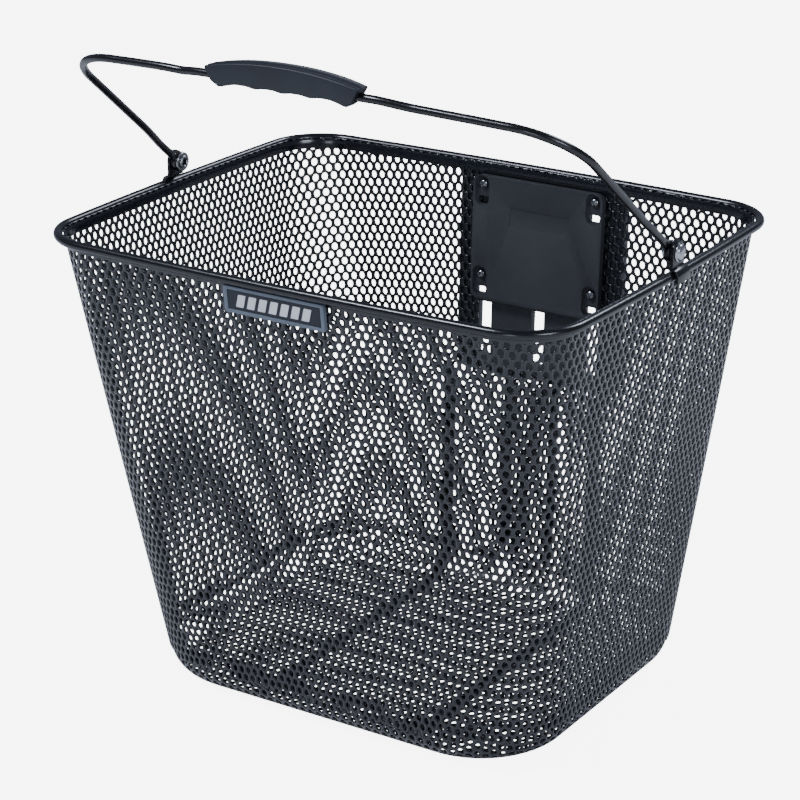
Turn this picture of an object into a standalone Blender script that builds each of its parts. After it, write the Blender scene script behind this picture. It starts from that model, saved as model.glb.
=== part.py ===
"""Handlebar basket with a swinging bail handle, as separate named parts.

Metres, +Z up. X is the basket's width, -Y its front (the badge wall) and +Y its back
(the adapter wall). The origin is on the surface the basket stands on, under its middle.
"""

import math

import bmesh
import bpy
from mathutils import Matrix, Vector

# Overall sizes
WIDTH = 0.350            # across the rim, outside to outside, without the sides' bow
DEPTH = 0.284            # front to back across the rim, likewise
RIM_Z = 0.290            # height of the rim rod's centre
GAP = 0.0003             # clearance between pieces that touch

# Rim rod
ROD_RADIUS = 0.00275
RIM_CORNER = 0.0327      # corner radius of the rod's centre line

# Basket walls: the outer face of the mesh at the rim and at the base
TOP_HALF_X = WIDTH / 2 - 2 * ROD_RADIUS - GAP
TOP_HALF_Y = DEPTH / 2 - 2 * ROD_RADIUS - GAP
TOP_CORNER = 0.0300
BASE_HALF_X = 0.1378
BASE_FRONT = 0.1060
BASE_BACK = 0.1290
BASE_CORNER = 0.0620
TOP_BOW_X = 0.0036       # how far the long sides bow out at the rim
TOP_BOW_Y = 0.0042
MESH_THICK = 0.0012
MESH_TOP = RIM_Z + 0.0010
WALL_LOW = 0.0190        # lower edge of the wall sheet
FLANGE_TOP = 0.0310      # upper edge of the base tray's flange

# Straps under the base
STRAP_THICK = 0.0020
STRAP_WIDTH = 0.0080
STRAP_X = 0.0550
STRAP_TOP = RIM_Z - 0.1425
BASE_Z = STRAP_THICK + GAP
BASE_FILLET = WALL_LOW - BASE_Z
STRAP_GAP = 2 * GAP      # between a strap and the wall it runs along

# Adapter and clamp plates on the back wall
PLATE_X = 0.0095         # the plates sit this far right of the middle
PLATE_Z = RIM_Z - 0.0720
CLAMP_WIDTH = 0.0940
CLAMP_HEIGHT = 0.0825
CLAMP_THICK = 0.0050
CLAMP_Z = 0.0243         # centre of the clamp plate above the adapter's centre
ADAPTER_WIDTH = 0.1200
ADAPTER_HEIGHT = 0.1360
ADAPTER_THICK = 0.0055
SLOT_X = 0.0405
SLOT_WIDTH = 0.0104
SLOT_LENGTH = 0.0202
SLOT_UPPER = 0.0310
SLOT_LOWER = -0.0293
SLOT_FLOOR = 0.0020      # thickness of the floor that the screw heads rest on
SCREW_RISE = 0.0042
WINDOW_WIDTH = 0.0094
WINDOW_PITCH = 0.0395
WINDOW_LOW = -0.0570
WINDOW_HIGH = -0.0205
NUT_RADIUS = 0.0040
NUT_THICK = 0.0024
THREAD_BORE = 0.0021     # radius of the holes that the screws pass through
PORT_WIDTH = 0.0080      # see-through part of a slot, clear of the screw
PORT_HEIGHT = 0.0085
PORT_DROP = 0.0048
ADAPTER_PORT_SHIFT = 0.0025
ADAPTER_PORT_DROP = 0.0066
CLAMP_BACK = -MESH_THICK - GAP - 0.0004     # the face that bears on the mesh
CLAMP_FRONT = CLAMP_BACK - CLAMP_THICK
ADAPTER_FRONT = GAP
ADAPTER_BACK = ADAPTER_FRONT + ADAPTER_THICK
OPENING_WIDTH = 0.0880   # opening in the back wall behind the clamp plate
OPENING_HEIGHT = 0.1270
OPENING_Z = RIM_Z - 0.0725

# Bail handle
PIVOT_RISE = 0.0130      # hinge axis above the rim rod's centre
LEAN = math.radians(52.5)
WIRE_RADIUS = 0.0024
BAIL_HEIGHT = 0.1613
BAIL_SPAN = 0.1585
BAIL_RISE_X = 0.0780
BAIL_LEG_X = 0.1625
BAIL_LEG_BOW = 0.0040
BAIL_SHOULDER = 0.0400
EYE_RADIUS = 0.0062
EYE_THICK = 0.0030
WASHER_RADIUS = 0.0060
WASHER_BORE = 0.0028
OUTER_WASHER = 0.0008
INNER_WASHER = 0.0010
RIVET_RADIUS = 0.0025
BRACKET_THICK = 0.0018
BRACKET_HALF = 0.0068
BRACKET_DROP = 0.0035    # how far its leg reaches below the rod's centre
FOOT_REACH = 0.0090
FOOT_WIDTH = 0.0170
SKIRT_WIDTH = 0.0150
FOOT_THICK = 0.0015
RIVET_HEAD = 0.0056
RIVET_DOME = 0.0024
RIVET_FLANGE = 0.0007
RIVET_TAIL = 0.0041
TAIL_LENGTH = 0.0011

# Stack on the hinge axis, from the rim rod outwards to the bracket's leg and back in
ROD_X = WIDTH / 2 - ROD_RADIUS + TOP_BOW_X      # rod centre at the pivots
LEG_IN = ROD_X - BRACKET_THICK / 2              # inner face of the bracket's leg
WASHER_OUT = LEG_IN - GAP
EYE_OUT = WASHER_OUT - OUTER_WASHER - GAP
EYE_IN = EYE_OUT - EYE_THICK
EYE_MIDDLE = (EYE_OUT + EYE_IN) / 2
WASHER_IN = EYE_IN - GAP
TAIL_OUT = WASHER_IN - INNER_WASHER - GAP

# Grip
GRIP_HALF = 0.0505
GRIP_WIDTH = 0.0120
GRIP_TOP_END = 0.0056
GRIP_TOP_MID = 0.0112
GRIP_LIP = -0.0050
GRIP_VALLEY = -0.0033
GRIP_BORE = 0.0028

# Badge
BADGE_WIDTH = 0.0680
BADGE_HEIGHT = 0.0165
BADGE_THICK = 0.0030
BADGE_Z = RIM_Z - 0.0115
BADGE_STANDOFF = 0.0008  # between the badge's back and the mesh
BADGE_BORDER = 0.0025
FIELD_THICK = 0.0008
CLIP_X = 0.0250
CLIP_SIZE = 0.0030
CLIP_Z = -0.0010
CLIP_FOOT = (0.0090, 0.0012, 0.0050)

COLLECTION = "handlebar_basket"
CUTTERS = "cutters"


def start():
    """Empty the scene and make the two collections."""
    for obj in list(bpy.data.objects):
        bpy.data.objects.remove(obj, do_unlink=True)
    for name in (COLLECTION, CUTTERS):
        group = bpy.data.collections.get(name) or bpy.data.collections.new(name)
        if name not in bpy.context.scene.collection.children:
            bpy.context.scene.collection.children.link(group)


def material(name, colour, roughness, metallic=0.0):
    """A plain Principled material."""
    made = bpy.data.materials.new(name)
    made.use_nodes = True
    shader = made.node_tree.nodes["Principled BSDF"]
    shader.inputs["Base Color"].default_value = (*colour, 1.0)
    shader.inputs["Roughness"].default_value = roughness
    shader.inputs["Metallic"].default_value = metallic
    return made


def add(name, mesh, finish, parent=None, group=COLLECTION, smooth=False):
    """Link a mesh as a named object with its finish."""
    obj = bpy.data.objects.new(name, mesh)
    bpy.data.collections[group].objects.link(obj)
    if finish is not None:
        mesh.materials.append(finish)
    if smooth:
        mesh.shade_smooth()
        mesh.set_sharp_from_angle(angle=math.radians(35))
    obj.parent = parent
    return obj


def cutter(obj):
    """Mark an object as a cutter."""
    obj.hide_render = True
    obj.display_type = "WIRE"
    return obj


def boolean(target, other, operation="DIFFERENCE"):
    """Add a Boolean modifier to the target."""
    step = target.modifiers.new(other.name, "BOOLEAN")
    step.operation = operation
    step.object = other
    return step


def to_mesh(bm, name):
    """Write a bmesh to a new mesh."""
    mesh = bpy.data.meshes.new(name)
    bm.to_mesh(mesh)
    bm.free()
    return mesh


def block(name, size, centre, radius=0.0, axis=None, segments=4):
    """A box, with the edges along one axis rounded when a radius is given."""
    bm = bmesh.new()
    bmesh.ops.create_cube(bm, size=1.0)
    bmesh.ops.scale(bm, vec=Vector(size), verts=bm.verts)
    if radius > 0.0:
        along = Vector([1.0 if letter == axis else 0.0 for letter in "XYZ"])
        edges = [e for e in bm.edges
                 if abs((e.verts[1].co - e.verts[0].co).normalized().dot(along)) > 0.99]
        bmesh.ops.bevel(bm, geom=edges, offset=radius, segments=segments, profile=0.5,
                        affect="EDGES")
    bmesh.ops.translate(bm, vec=Vector(centre), verts=bm.verts)
    return to_mesh(bm, name)


def drum(name, radius, length, centre, axis="X", segments=24):
    """A cylinder along one axis."""
    bm = bmesh.new()
    bmesh.ops.create_cone(bm, cap_ends=True, segments=segments, radius1=radius,
                          radius2=radius, depth=length)
    if axis == "X":
        bmesh.ops.rotate(bm, verts=bm.verts, matrix=Matrix.Rotation(math.pi / 2, 3, "Y"))
    if axis == "Y":
        bmesh.ops.rotate(bm, verts=bm.verts, matrix=Matrix.Rotation(math.pi / 2, 3, "X"))
    bmesh.ops.translate(bm, vec=Vector(centre), verts=bm.verts)
    return to_mesh(bm, name)


def turned(name, profile, steps, finish, parent=None):
    """Turn a closed (radius, height) profile round the object's Z axis."""
    mesh = bpy.data.meshes.new(name)
    points = [(radius, 0.0, height) for radius, height in profile]
    edges = [(i, (i + 1) % len(points)) for i in range(len(points))]
    if profile[0][0] == 0.0 and profile[-1][0] == 0.0:
        edges.pop()
    mesh.from_pydata(points, edges, [])
    obj = add(name, mesh, finish, parent)
    screw = obj.modifiers.new("turn", "SCREW")
    screw.axis = "Z"
    screw.steps = steps
    screw.render_steps = steps
    screw.use_merge_vertices = True
    screw.merge_threshold = 0.00002
    screw.use_smooth_shade = True
    return obj


# ---------------------------------------------------------------- basket outline

def mix(a, b, t):
    """Value between a and b."""
    return a + (b - a) * t


def fall(z):
    """0 at the rim, 1 at the base."""
    return (RIM_Z - z) / (RIM_Z - BASE_Z)


def bowed(x, y, half_x, front, back, bow_x, bow_y):
    """Push a point of a straight-sided outline out along the sides' bow."""
    middle = (back - front) / 2
    half_y = (back + front) / 2
    edge_x = min(abs(x) / half_x, 1.0) ** 3
    edge_y = min(abs(y - middle) / half_y, 1.0) ** 3
    out_x = bow_x * (1 - ((y - middle) / half_y) ** 2) * edge_x
    out_y = bow_y * (1 - (x / half_x) ** 2) * edge_y
    return x + math.copysign(out_x, x), y + math.copysign(out_y, y - middle)


def outline(half_x, front, back, corner, bow_x, bow_y, arc=6, side=6):
    """Rounded rectangle with bowed sides, counter-clockwise from the right back corner."""
    corners = ((half_x - corner, back - corner, 0.0),
               (corner - half_x, back - corner, 90.0),
               (corner - half_x, corner - front, 180.0),
               (half_x - corner, corner - front, 270.0))
    points = []
    for index, (cx, cy, first) in enumerate(corners):
        for step in range(arc + 1):
            angle = math.radians(first + 90.0 * step / arc)
            points.append((cx + corner * math.cos(angle), cy + corner * math.sin(angle)))
        nx, ny, turn = corners[(index + 1) % 4]
        angle = math.radians(turn)
        end = (nx + corner * math.cos(angle), ny + corner * math.sin(angle))
        begin = points[-1]
        for step in range(1, side):
            t = step / side
            points.append((mix(begin[0], end[0], t), mix(begin[1], end[1], t)))
    return [bowed(x, y, half_x, front, back, bow_x, bow_y) for x, y in points]


def wall_sizes(z, inset=0.0):
    """Half width, front, back, corner and bows of the wall's outer face at a height."""
    t = fall(z)
    return (mix(TOP_HALF_X, BASE_HALF_X, t) - inset,
            mix(TOP_HALF_Y, BASE_FRONT, t) - inset,
            mix(TOP_HALF_Y, BASE_BACK, t) - inset,
            mix(TOP_CORNER, BASE_CORNER, t) - inset,
            TOP_BOW_X * (1 - t), TOP_BOW_Y * (1 - t))


def back_y(x, z, front=False):
    """Y of the back (or front) wall's outer face at a place."""
    half_x, near, far, _, _, bow = wall_sizes(z)
    reach = (near if front else far) + bow * (1 - (x / half_x) ** 2)
    return -reach if front else reach


def shell(name, rings, finish, thickness, closed_base=False):
    """A sheet through rings of points, given its thickness inwards."""
    count = len(rings[0])
    points = [point for ring in rings for point in ring]
    faces = []
    for level in range(len(rings) - 1):
        low, high = (level + 1) * count, level * count
        for i in range(count):
            j = (i + 1) % count
            faces.append((low + i, low + j, high + j, high + i))
    if closed_base:
        last = (len(rings) - 1) * count
        faces.append([last + i for i in reversed(range(count))])
    mesh = bpy.data.meshes.new(name)
    mesh.from_pydata(points, [], faces)
    obj = add(name, mesh, finish, smooth=True)
    solid = obj.modifiers.new("thickness", "SOLIDIFY")
    solid.thickness = thickness
    solid.offset = -1.0
    solid.use_even_offset = True
    return obj


# ---------------------------------------------------------------- basket

def rim_ring(finish):
    """The rod hoop round the top."""
    half_x = WIDTH / 2 - ROD_RADIUS
    half_y = DEPTH / 2 - ROD_RADIUS
    curve = bpy.data.curves.new("rim_ring", "CURVE")
    curve.dimensions = "3D"
    curve.bevel_depth = ROD_RADIUS
    curve.bevel_resolution = 2
    points = outline(half_x, half_y, half_y, RIM_CORNER, TOP_BOW_X, TOP_BOW_Y, side=5)
    spline = curve.splines.new("POLY")
    spline.points.add(len(points) - 1)
    for target, (x, y) in zip(spline.points, points):
        target.co = (x, y, RIM_Z, 1.0)
    spline.use_cyclic_u = True
    curve.materials.append(finish)
    obj = bpy.data.objects.new("rim_ring", curve)
    bpy.data.collections[COLLECTION].objects.link(obj)
    return obj


def wall_mesh(finish):
    """The four walls, one bent sheet, open behind the clamp plate."""
    levels = (MESH_TOP, RIM_Z - 0.070, RIM_Z - 0.140, RIM_Z - 0.210, WALL_LOW)
    rings = [[(x, y, z) for x, y in outline(*wall_sizes(z))] for z in levels]
    wall = shell("wall_mesh", rings, finish, MESH_THICK)
    opening = add("wall_opening", block("wall_opening",
                                        (OPENING_WIDTH, 0.060, OPENING_HEIGHT),
                                        (PLATE_X, DEPTH / 2, OPENING_Z)),
                  None, group=CUTTERS)
    boolean(wall, cutter(opening))
    return wall


def base_tray(finish):
    """The bottom sheet with its rounded edge and upturned flange."""
    inset = MESH_THICK + GAP
    rings = [[(x, y, z) for x, y in outline(*wall_sizes(z, inset))]
             for z in (FLANGE_TOP, WALL_LOW)]
    sizes = wall_sizes(WALL_LOW, inset)
    steps = 4
    for step in range(1, steps + 1):
        angle = math.pi / 2 * step / steps
        draw = BASE_FILLET * (1 - math.cos(angle))
        z = WALL_LOW - BASE_FILLET * math.sin(angle)
        shrunk = [size - draw for size in sizes[:4]]
        rings.append([(x, y, z) for x, y in outline(*shrunk, *sizes[4:])])
    return shell("bottom_mesh", rings, finish, MESH_THICK, closed_base=True)


def support_strap(name, x, finish):
    """A flat strap down the back wall, under the base and up to the front edge."""
    path = []
    for z in (STRAP_TOP, 0.100, 0.060, WALL_LOW):
        path.append((back_y(x, z) + STRAP_GAP, z))
    steps = 6
    back_end = path[-1][0]
    front_end = back_y(x, WALL_LOW, front=True) - STRAP_GAP
    reach = BASE_FILLET + MESH_THICK + GAP + STRAP_GAP
    for step in range(1, steps + 1):
        angle = math.pi / 2 * step / steps
        path.append((back_end - reach * (1 - math.cos(angle)),
                     WALL_LOW - (WALL_LOW - STRAP_THICK) * math.sin(angle)))
    for step in range(steps, 1, -1):
        angle = math.pi / 2 * step / steps
        path.append((front_end + reach * (1 - math.cos(angle)),
                     WALL_LOW - (WALL_LOW - STRAP_THICK) * math.sin(angle)))
    half = STRAP_WIDTH / 2
    points = [(x + side * half, y, z) for y, z in path for side in (-1, 1)]
    faces = [(2 * i, 2 * i + 1, 2 * i + 3, 2 * i + 2) for i in range(len(path) - 1)]
    mesh = bpy.data.meshes.new(name)
    mesh.from_pydata(points, [], faces)
    obj = add(name, mesh, finish, smooth=True)
    solid = obj.modifiers.new("thickness", "SOLIDIFY")
    solid.thickness = STRAP_THICK
    solid.offset = 1.0
    solid.use_even_offset = True
    return obj


# ---------------------------------------------------------------- plates

def plate_frame():
    """An empty on the back wall's outer face, Y outwards, Z up along the wall."""
    low, high = back_y(PLATE_X, 0.150), back_y(PLATE_X, 0.280)
    empty = bpy.data.objects.new("plate_frame", None)
    bpy.data.collections[COLLECTION].objects.link(empty)
    empty.location = (PLATE_X, back_y(PLATE_X, PLATE_Z), PLATE_Z)
    empty.rotation_euler = (-math.atan2(high - low, 0.130), 0.0, 0.0)
    return empty


def slot_places():
    """The four slots, as (name, x, z) about the clamp plate's centre."""
    return (("upper_left", -SLOT_X, SLOT_UPPER), ("upper_right", SLOT_X, SLOT_UPPER),
            ("lower_left", -SLOT_X, SLOT_LOWER), ("lower_right", SLOT_X, SLOT_LOWER))


def clamp_plate(frame, finish):
    """The plate inside the basket, with a stepped slot near each corner."""
    centre = (0.0, (CLAMP_BACK + CLAMP_FRONT) / 2, CLAMP_Z)
    mesh = block("clamp_plate", (CLAMP_WIDTH, CLAMP_THICK, CLAMP_HEIGHT), centre,
                 radius=0.0060, axis="Y")
    plate = add("clamp_plate", mesh, finish, frame)
    floor = CLAMP_BACK - SLOT_FLOOR
    for name, x, z in slot_places():
        deep = floor - CLAMP_FRONT + 0.002
        pocket = add("pocket_" + name,
                     block("pocket", (SLOT_WIDTH, deep, SLOT_LENGTH),
                           (x, floor - deep / 2, CLAMP_Z + z), radius=0.0045, axis="Y"),
                     None, frame, CUTTERS)
        through = add("through_" + name,
                      block("through", (PORT_WIDTH, 0.030, PORT_HEIGHT),
                            (x, CLAMP_BACK, CLAMP_Z + z - PORT_DROP)), None, frame, CUTTERS)
        bore = add("screw_bore_" + name,
                   drum("bore", THREAD_BORE, 0.040, (x, 0.0, CLAMP_Z + z + SCREW_RISE), "Y", 12),
                   None, frame, CUTTERS)
        for tool in (pocket, through, bore):
            boolean(plate, cutter(tool))
    return plate


def adapter_plate(frame, finish):
    """The plate behind the back wall, with its hook windows and nut pockets."""
    centre = (0.0, (ADAPTER_FRONT + ADAPTER_BACK) / 2, 0.0)
    mesh = block("adapter_plate", (ADAPTER_WIDTH, ADAPTER_THICK, ADAPTER_HEIGHT), centre,
                 radius=0.0080, axis="Y")
    plate = add("adapter_plate", mesh, finish, frame)
    tools = []
    for column in (-1, 0, 1):
        size = (WINDOW_WIDTH, 0.030, WINDOW_HIGH - WINDOW_LOW)
        tools.append(block("window", size,
                           (column * WINDOW_PITCH, 0.0, (WINDOW_HIGH + WINDOW_LOW) / 2)))
    for name, x, z in slot_places():
        if name != "upper_left":
            tools.append(block("slot_window", (PORT_WIDTH, 0.030, PORT_HEIGHT),
                               (x - ADAPTER_PORT_SHIFT, 0.0,
                                CLAMP_Z + z - ADAPTER_PORT_DROP)))
        height = CLAMP_Z + z + SCREW_RISE
        tools.append(drum("nut_bore", THREAD_BORE, 0.040, (x, 0.0, height), "Y", 12))
        pocket = drum("nut_pocket", NUT_RADIUS + 0.0005, 0.010,
                      (x, ADAPTER_BACK + 0.005 - NUT_THICK - 0.0006, height), "Y", 6)
        tools.append(pocket)
    for index, mesh in enumerate(tools):
        tool = add(f"adapter_cut_{index}", mesh, None, frame, CUTTERS)
        boolean(plate, cutter(tool))
    return plate


def plate_fasteners(frame, finish, nut_finish):
    """A screw through each slot, and its nut in the adapter's back."""
    head_back = CLAMP_BACK - SLOT_FLOOR - GAP
    tip = ADAPTER_BACK - 0.0006
    for name, x, z in slot_places():
        height = CLAMP_Z + z + SCREW_RISE
        profile = [(0.0, 0.0), (0.0017, 0.0004), (0.0017, tip - head_back),
                   (0.0031, tip - head_back), (0.0031, tip - head_back + 0.0012),
                   (0.0022, tip - head_back + 0.0021), (0.0, tip - head_back + 0.0024)]
        profile.reverse()
        screw = turned("plate_screw_" + name, profile, 16, finish, frame)
        screw.location = (x, tip, height)
        screw.rotation_euler = (math.pi / 2, 0.0, 0.0)
        middle = ADAPTER_BACK - 0.0003 - NUT_THICK / 2
        nut = add("plate_nut_" + name,
                  drum("nut", NUT_RADIUS, NUT_THICK, (x, middle, height), "Y", 6),
                  nut_finish, frame)
        bore = add("nut_bore_" + name,
                   drum("nut_bore", THREAD_BORE, 0.012, (x, middle, height), "Y", 12),
                   None, frame, CUTTERS)
        boolean(nut, cutter(bore))


# ---------------------------------------------------------------- badge

def badge(finish, field_finish):
    """The name badge on the front wall: frame, field and two clips through the mesh."""
    low = back_y(0.0, BADGE_Z - 0.01, front=True)
    high = back_y(0.0, BADGE_Z + 0.01, front=True)
    frame = bpy.data.objects.new("badge_axis", None)
    bpy.data.collections[COLLECTION].objects.link(frame)
    frame.location = (0.0, back_y(0.0, BADGE_Z, front=True) - BADGE_STANDOFF, BADGE_Z)
    frame.rotation_euler = (math.atan2(low - high, 0.02), 0.0, 0.0)
    centre = (0.0, -BADGE_THICK / 2, 0.0)
    body = add("badge_frame", block("badge_frame", (BADGE_WIDTH, BADGE_THICK, BADGE_HEIGHT),
                                    centre, radius=0.0012, axis="Y", segments=2),
               finish, frame)
    inner_width = BADGE_WIDTH - 2 * BADGE_BORDER
    inner_height = BADGE_HEIGHT - 2 * BADGE_BORDER + 2 * GAP
    recess = add("badge_recess", block("badge_recess", (inner_width, 0.004, inner_height),
                                       (0.0, -BADGE_THICK - 0.0004, 0.0)),
                 None, frame, CUTTERS)
    boolean(body, cutter(recess))
    floor = -BADGE_THICK + 0.0016
    add("badge_field", block("badge_field", (inner_width - 2 * GAP, FIELD_THICK,
                                             inner_height - 2 * GAP),
                             (0.0, floor - GAP - FIELD_THICK / 2, 0.0)),
        field_finish, frame)
    wall_back = BADGE_STANDOFF + MESH_THICK
    foot_middle = wall_back + 0.0018
    for side, name in ((-1, "left"), (1, "right")):
        stem = block("badge_clip", (CLIP_SIZE, foot_middle - GAP, CLIP_SIZE),
                     (side * CLIP_X, (foot_middle + GAP) / 2, CLIP_Z))
        clip = add("badge_clip_" + name, stem, finish, frame)
        foot = add("clip_foot_" + name, block("clip_foot", CLIP_FOOT,
                                              (side * CLIP_X, foot_middle, CLIP_Z)),
                   None, frame, CUTTERS)
        boolean(clip, cutter(foot), "UNION")
        hole = add("clip_hole_" + name, block("clip_hole", (CLIP_SIZE + 0.0012, 0.012,
                                                            CLIP_SIZE + 0.0012),
                                              (side * CLIP_X, 0.0, CLIP_Z)),
                   None, frame, CUTTERS)
        boolean(bpy.data.objects["wall_mesh"], cutter(hole))


# ---------------------------------------------------------------- bail handle

def pivot_frame(side):
    """An empty on the hinge axis; its X points outwards from the basket."""
    empty = bpy.data.objects.new("pivot_frame_" + ("right" if side > 0 else "left"), None)
    bpy.data.collections[COLLECTION].objects.link(empty)
    empty.location = (0.0, 0.0, RIM_Z + PIVOT_RISE)
    if side < 0:
        empty.rotation_euler = (0.0, 0.0, math.pi)
    return empty


def pivot_bracket(name, frame, finish):
    """A sheet bracket: a leg over the rod, a foot across it and a skirt down outside."""
    low = -PIVOT_RISE - BRACKET_DROP
    foot_low = -PIVOT_RISE + ROD_RADIUS + GAP
    foot_top = foot_low + FOOT_THICK
    middle = LEG_IN + BRACKET_THICK / 2
    skirt_in = ROD_X + ROD_RADIUS + GAP
    foot_in = ROD_X - FOOT_REACH / 2
    foot_out = skirt_in + BRACKET_THICK - GAP
    leg_low = foot_low + FOOT_THICK / 3
    skirt_top = foot_top - FOOT_THICK / 3
    leg = add(name, block(name, (BRACKET_THICK, 2 * BRACKET_HALF, -leg_low),
                          (middle, 0.0, leg_low / 2)), finish, frame)
    crown = add(name + "_crown", drum("crown", BRACKET_HALF, BRACKET_THICK,
                                      (middle, 0.0, 0.0), "X", 32), None, frame, CUTTERS)
    foot = add(name + "_foot",
               block("foot", (foot_out - foot_in, FOOT_WIDTH, FOOT_THICK),
                     ((foot_out + foot_in) / 2, 0.0, foot_low + FOOT_THICK / 2)),
               None, frame, CUTTERS)
    skirt = add(name + "_skirt",
                block("skirt", (BRACKET_THICK, SKIRT_WIDTH, skirt_top - low),
                      (skirt_in + BRACKET_THICK / 2, 0.0, (skirt_top + low) / 2)),
                None, frame, CUTTERS)
    bore = add(name + "_bore", drum("bore", WASHER_BORE, 0.020, (middle, 0.0, 0.0), "X", 20),
               None, frame, CUTTERS)
    boolean(leg, cutter(crown), "UNION")
    boolean(leg, cutter(foot), "UNION")
    boolean(leg, cutter(skirt), "UNION")
    boolean(leg, cutter(bore))
    return leg


def pivot_rivet(name, frame, finish):
    """A domed rivet with a hollow, rolled tail."""
    head = LEG_IN + BRACKET_THICK + GAP
    tail = TAIL_OUT - TAIL_LENGTH
    profile = [(0.0, head + RIVET_DOME)]
    for step in range(1, 5):
        angle = math.pi / 2 * step / 4
        profile.append((RIVET_HEAD * math.sin(angle), head + RIVET_FLANGE
                        + (RIVET_DOME - RIVET_FLANGE) * math.cos(angle)))
    profile += [(RIVET_HEAD, head), (RIVET_RADIUS, head), (RIVET_RADIUS, TAIL_OUT),
                (RIVET_TAIL, TAIL_OUT), (RIVET_TAIL, tail + 0.0004), (0.0033, tail),
                (0.0021, tail + 0.0003), (0.0019, tail + 0.0060), (0.0, tail + 0.0066)]
    rivet = turned(name, profile, 24, finish, frame)
    rivet.rotation_euler = (0.0, math.pi / 2, 0.0)
    return rivet


def washer(name, frame, outer_face, thickness, finish):
    """A flat ring on the hinge axis."""
    profile = [(WASHER_RADIUS, outer_face), (WASHER_RADIUS, outer_face - thickness),
               (WASHER_BORE, outer_face - thickness), (WASHER_BORE, outer_face)]
    ring = turned(name, profile, 24, finish, frame)
    ring.rotation_euler = (0.0, math.pi / 2, 0.0)
    return ring


def bail_route():
    """Half of the wire's centre line in the bail's plane, from a leg to the middle."""
    top_leg = BAIL_SPAN - BAIL_SHOULDER
    neck, blend = 0.0105, 0.0300
    route = [(EYE_MIDDLE, 0.0070), (EYE_MIDDLE, neck)]
    for step in range(1, 5):
        ease = (1 - math.cos(math.pi * step / 4)) / 2
        route.append((mix(EYE_MIDDLE, BAIL_LEG_X + BAIL_LEG_BOW * 0.7, ease),
                      mix(neck, blend, step / 4)))
    legs = 5
    for step in range(1, legs + 1):
        height = mix(blend, top_leg, step / legs)
        route.append((BAIL_LEG_X + BAIL_LEG_BOW * math.cos(math.pi / 2 * (step / legs - 0.3)),
                      height))
    start = route[-1][0]
    turns = 7
    for step in range(1, turns + 1):
        angle = math.pi / 2 * step / turns
        route.append((start - BAIL_SHOULDER * (1 - math.cos(angle)),
                      top_leg - 0.0015 + (BAIL_SHOULDER - 0.0005) * math.sin(angle)))
    for step in range(1, 5):
        t = step / 4
        route.append((mix(start - BAIL_SHOULDER, BAIL_RISE_X, t),
                      mix(BAIL_SPAN - 0.0020, BAIL_SPAN, math.sin(math.pi / 2 * t))))
    for step in range(1, 6):
        t = step / 5
        route.append((mix(BAIL_RISE_X, GRIP_HALF + 0.0055, t),
                      mix(BAIL_SPAN, BAIL_HEIGHT, (1 - math.cos(math.pi * t)) / 2)))
    return route


def bail_wire(frame, finish):
    """The bent wire with a flattened eye at each end."""
    right = bail_route()
    points = [(-x, height) for x, height in right] + [(x, h) for x, h in reversed(right)]
    curve = bpy.data.curves.new("bail_wire_curve", "CURVE")
    curve.dimensions = "3D"
    curve.bevel_depth = WIRE_RADIUS
    curve.bevel_resolution = 2
    curve.use_fill_caps = True
    spline = curve.splines.new("POLY")
    spline.points.add(len(points) - 1)
    for target, (x, height) in zip(spline.points, points):
        target.co = (x, 0.0, height, 1.0)
    rough = bpy.data.objects.new("bail_wire_curve", curve)
    bpy.data.collections[COLLECTION].objects.link(rough)
    graph = bpy.context.evaluated_depsgraph_get()
    mesh = bpy.data.meshes.new_from_object(rough.evaluated_get(graph))
    bpy.data.objects.remove(rough, do_unlink=True)
    bm = bmesh.new()
    bm.from_mesh(mesh)
    bmesh.ops.remove_doubles(bm, verts=bm.verts, dist=0.00001)
    bmesh.ops.recalc_face_normals(bm, faces=bm.faces)
    wire = add("bail_wire", to_mesh(bm, "bail_wire"), finish, frame)
    for side, name in ((-1, "left"), (1, "right")):
        middle = side * EYE_MIDDLE
        eye = add("eye_" + name, drum("eye", EYE_RADIUS, EYE_THICK, (middle, 0.0, 0.0),
                                      "X", 28), None, frame, CUTTERS)
        neck = add("neck_" + name, block("neck", (EYE_THICK - 0.0002, 0.0050, 0.0060),
                                         (middle, 0.0, 0.0064)),
                   None, frame, CUTTERS)
        bore = add("eye_bore_" + name, drum("eye_bore", WASHER_BORE, 0.008,
                                            (middle, 0.0, 0.0), "X", 20),
                   None, frame, CUTTERS)
        boolean(wire, cutter(neck), "UNION")
        boolean(wire, cutter(eye), "UNION")
        boolean(wire, cutter(bore))
    return wire


def grip_profile(t):
    """Top and bottom of the grip at t, which runs from -1 to 1 along it."""
    top = mix(GRIP_TOP_MID, GRIP_TOP_END, abs(t) ** 2.2)
    lip = max(0.0, (abs(t) - 0.78) / 0.22)
    scallops = 4
    wave = 0.5 - 0.5 * math.cos(2 * math.pi * scallops * (t / 0.78 + 1) / 2)
    bottom = GRIP_VALLEY - 0.0007 * (1 - wave)
    if lip > 0.0:
        bottom = mix(GRIP_VALLEY - 0.0007, GRIP_LIP, math.sin(math.pi * min(lip, 0.75) / 1.5))
    return top, bottom


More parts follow.
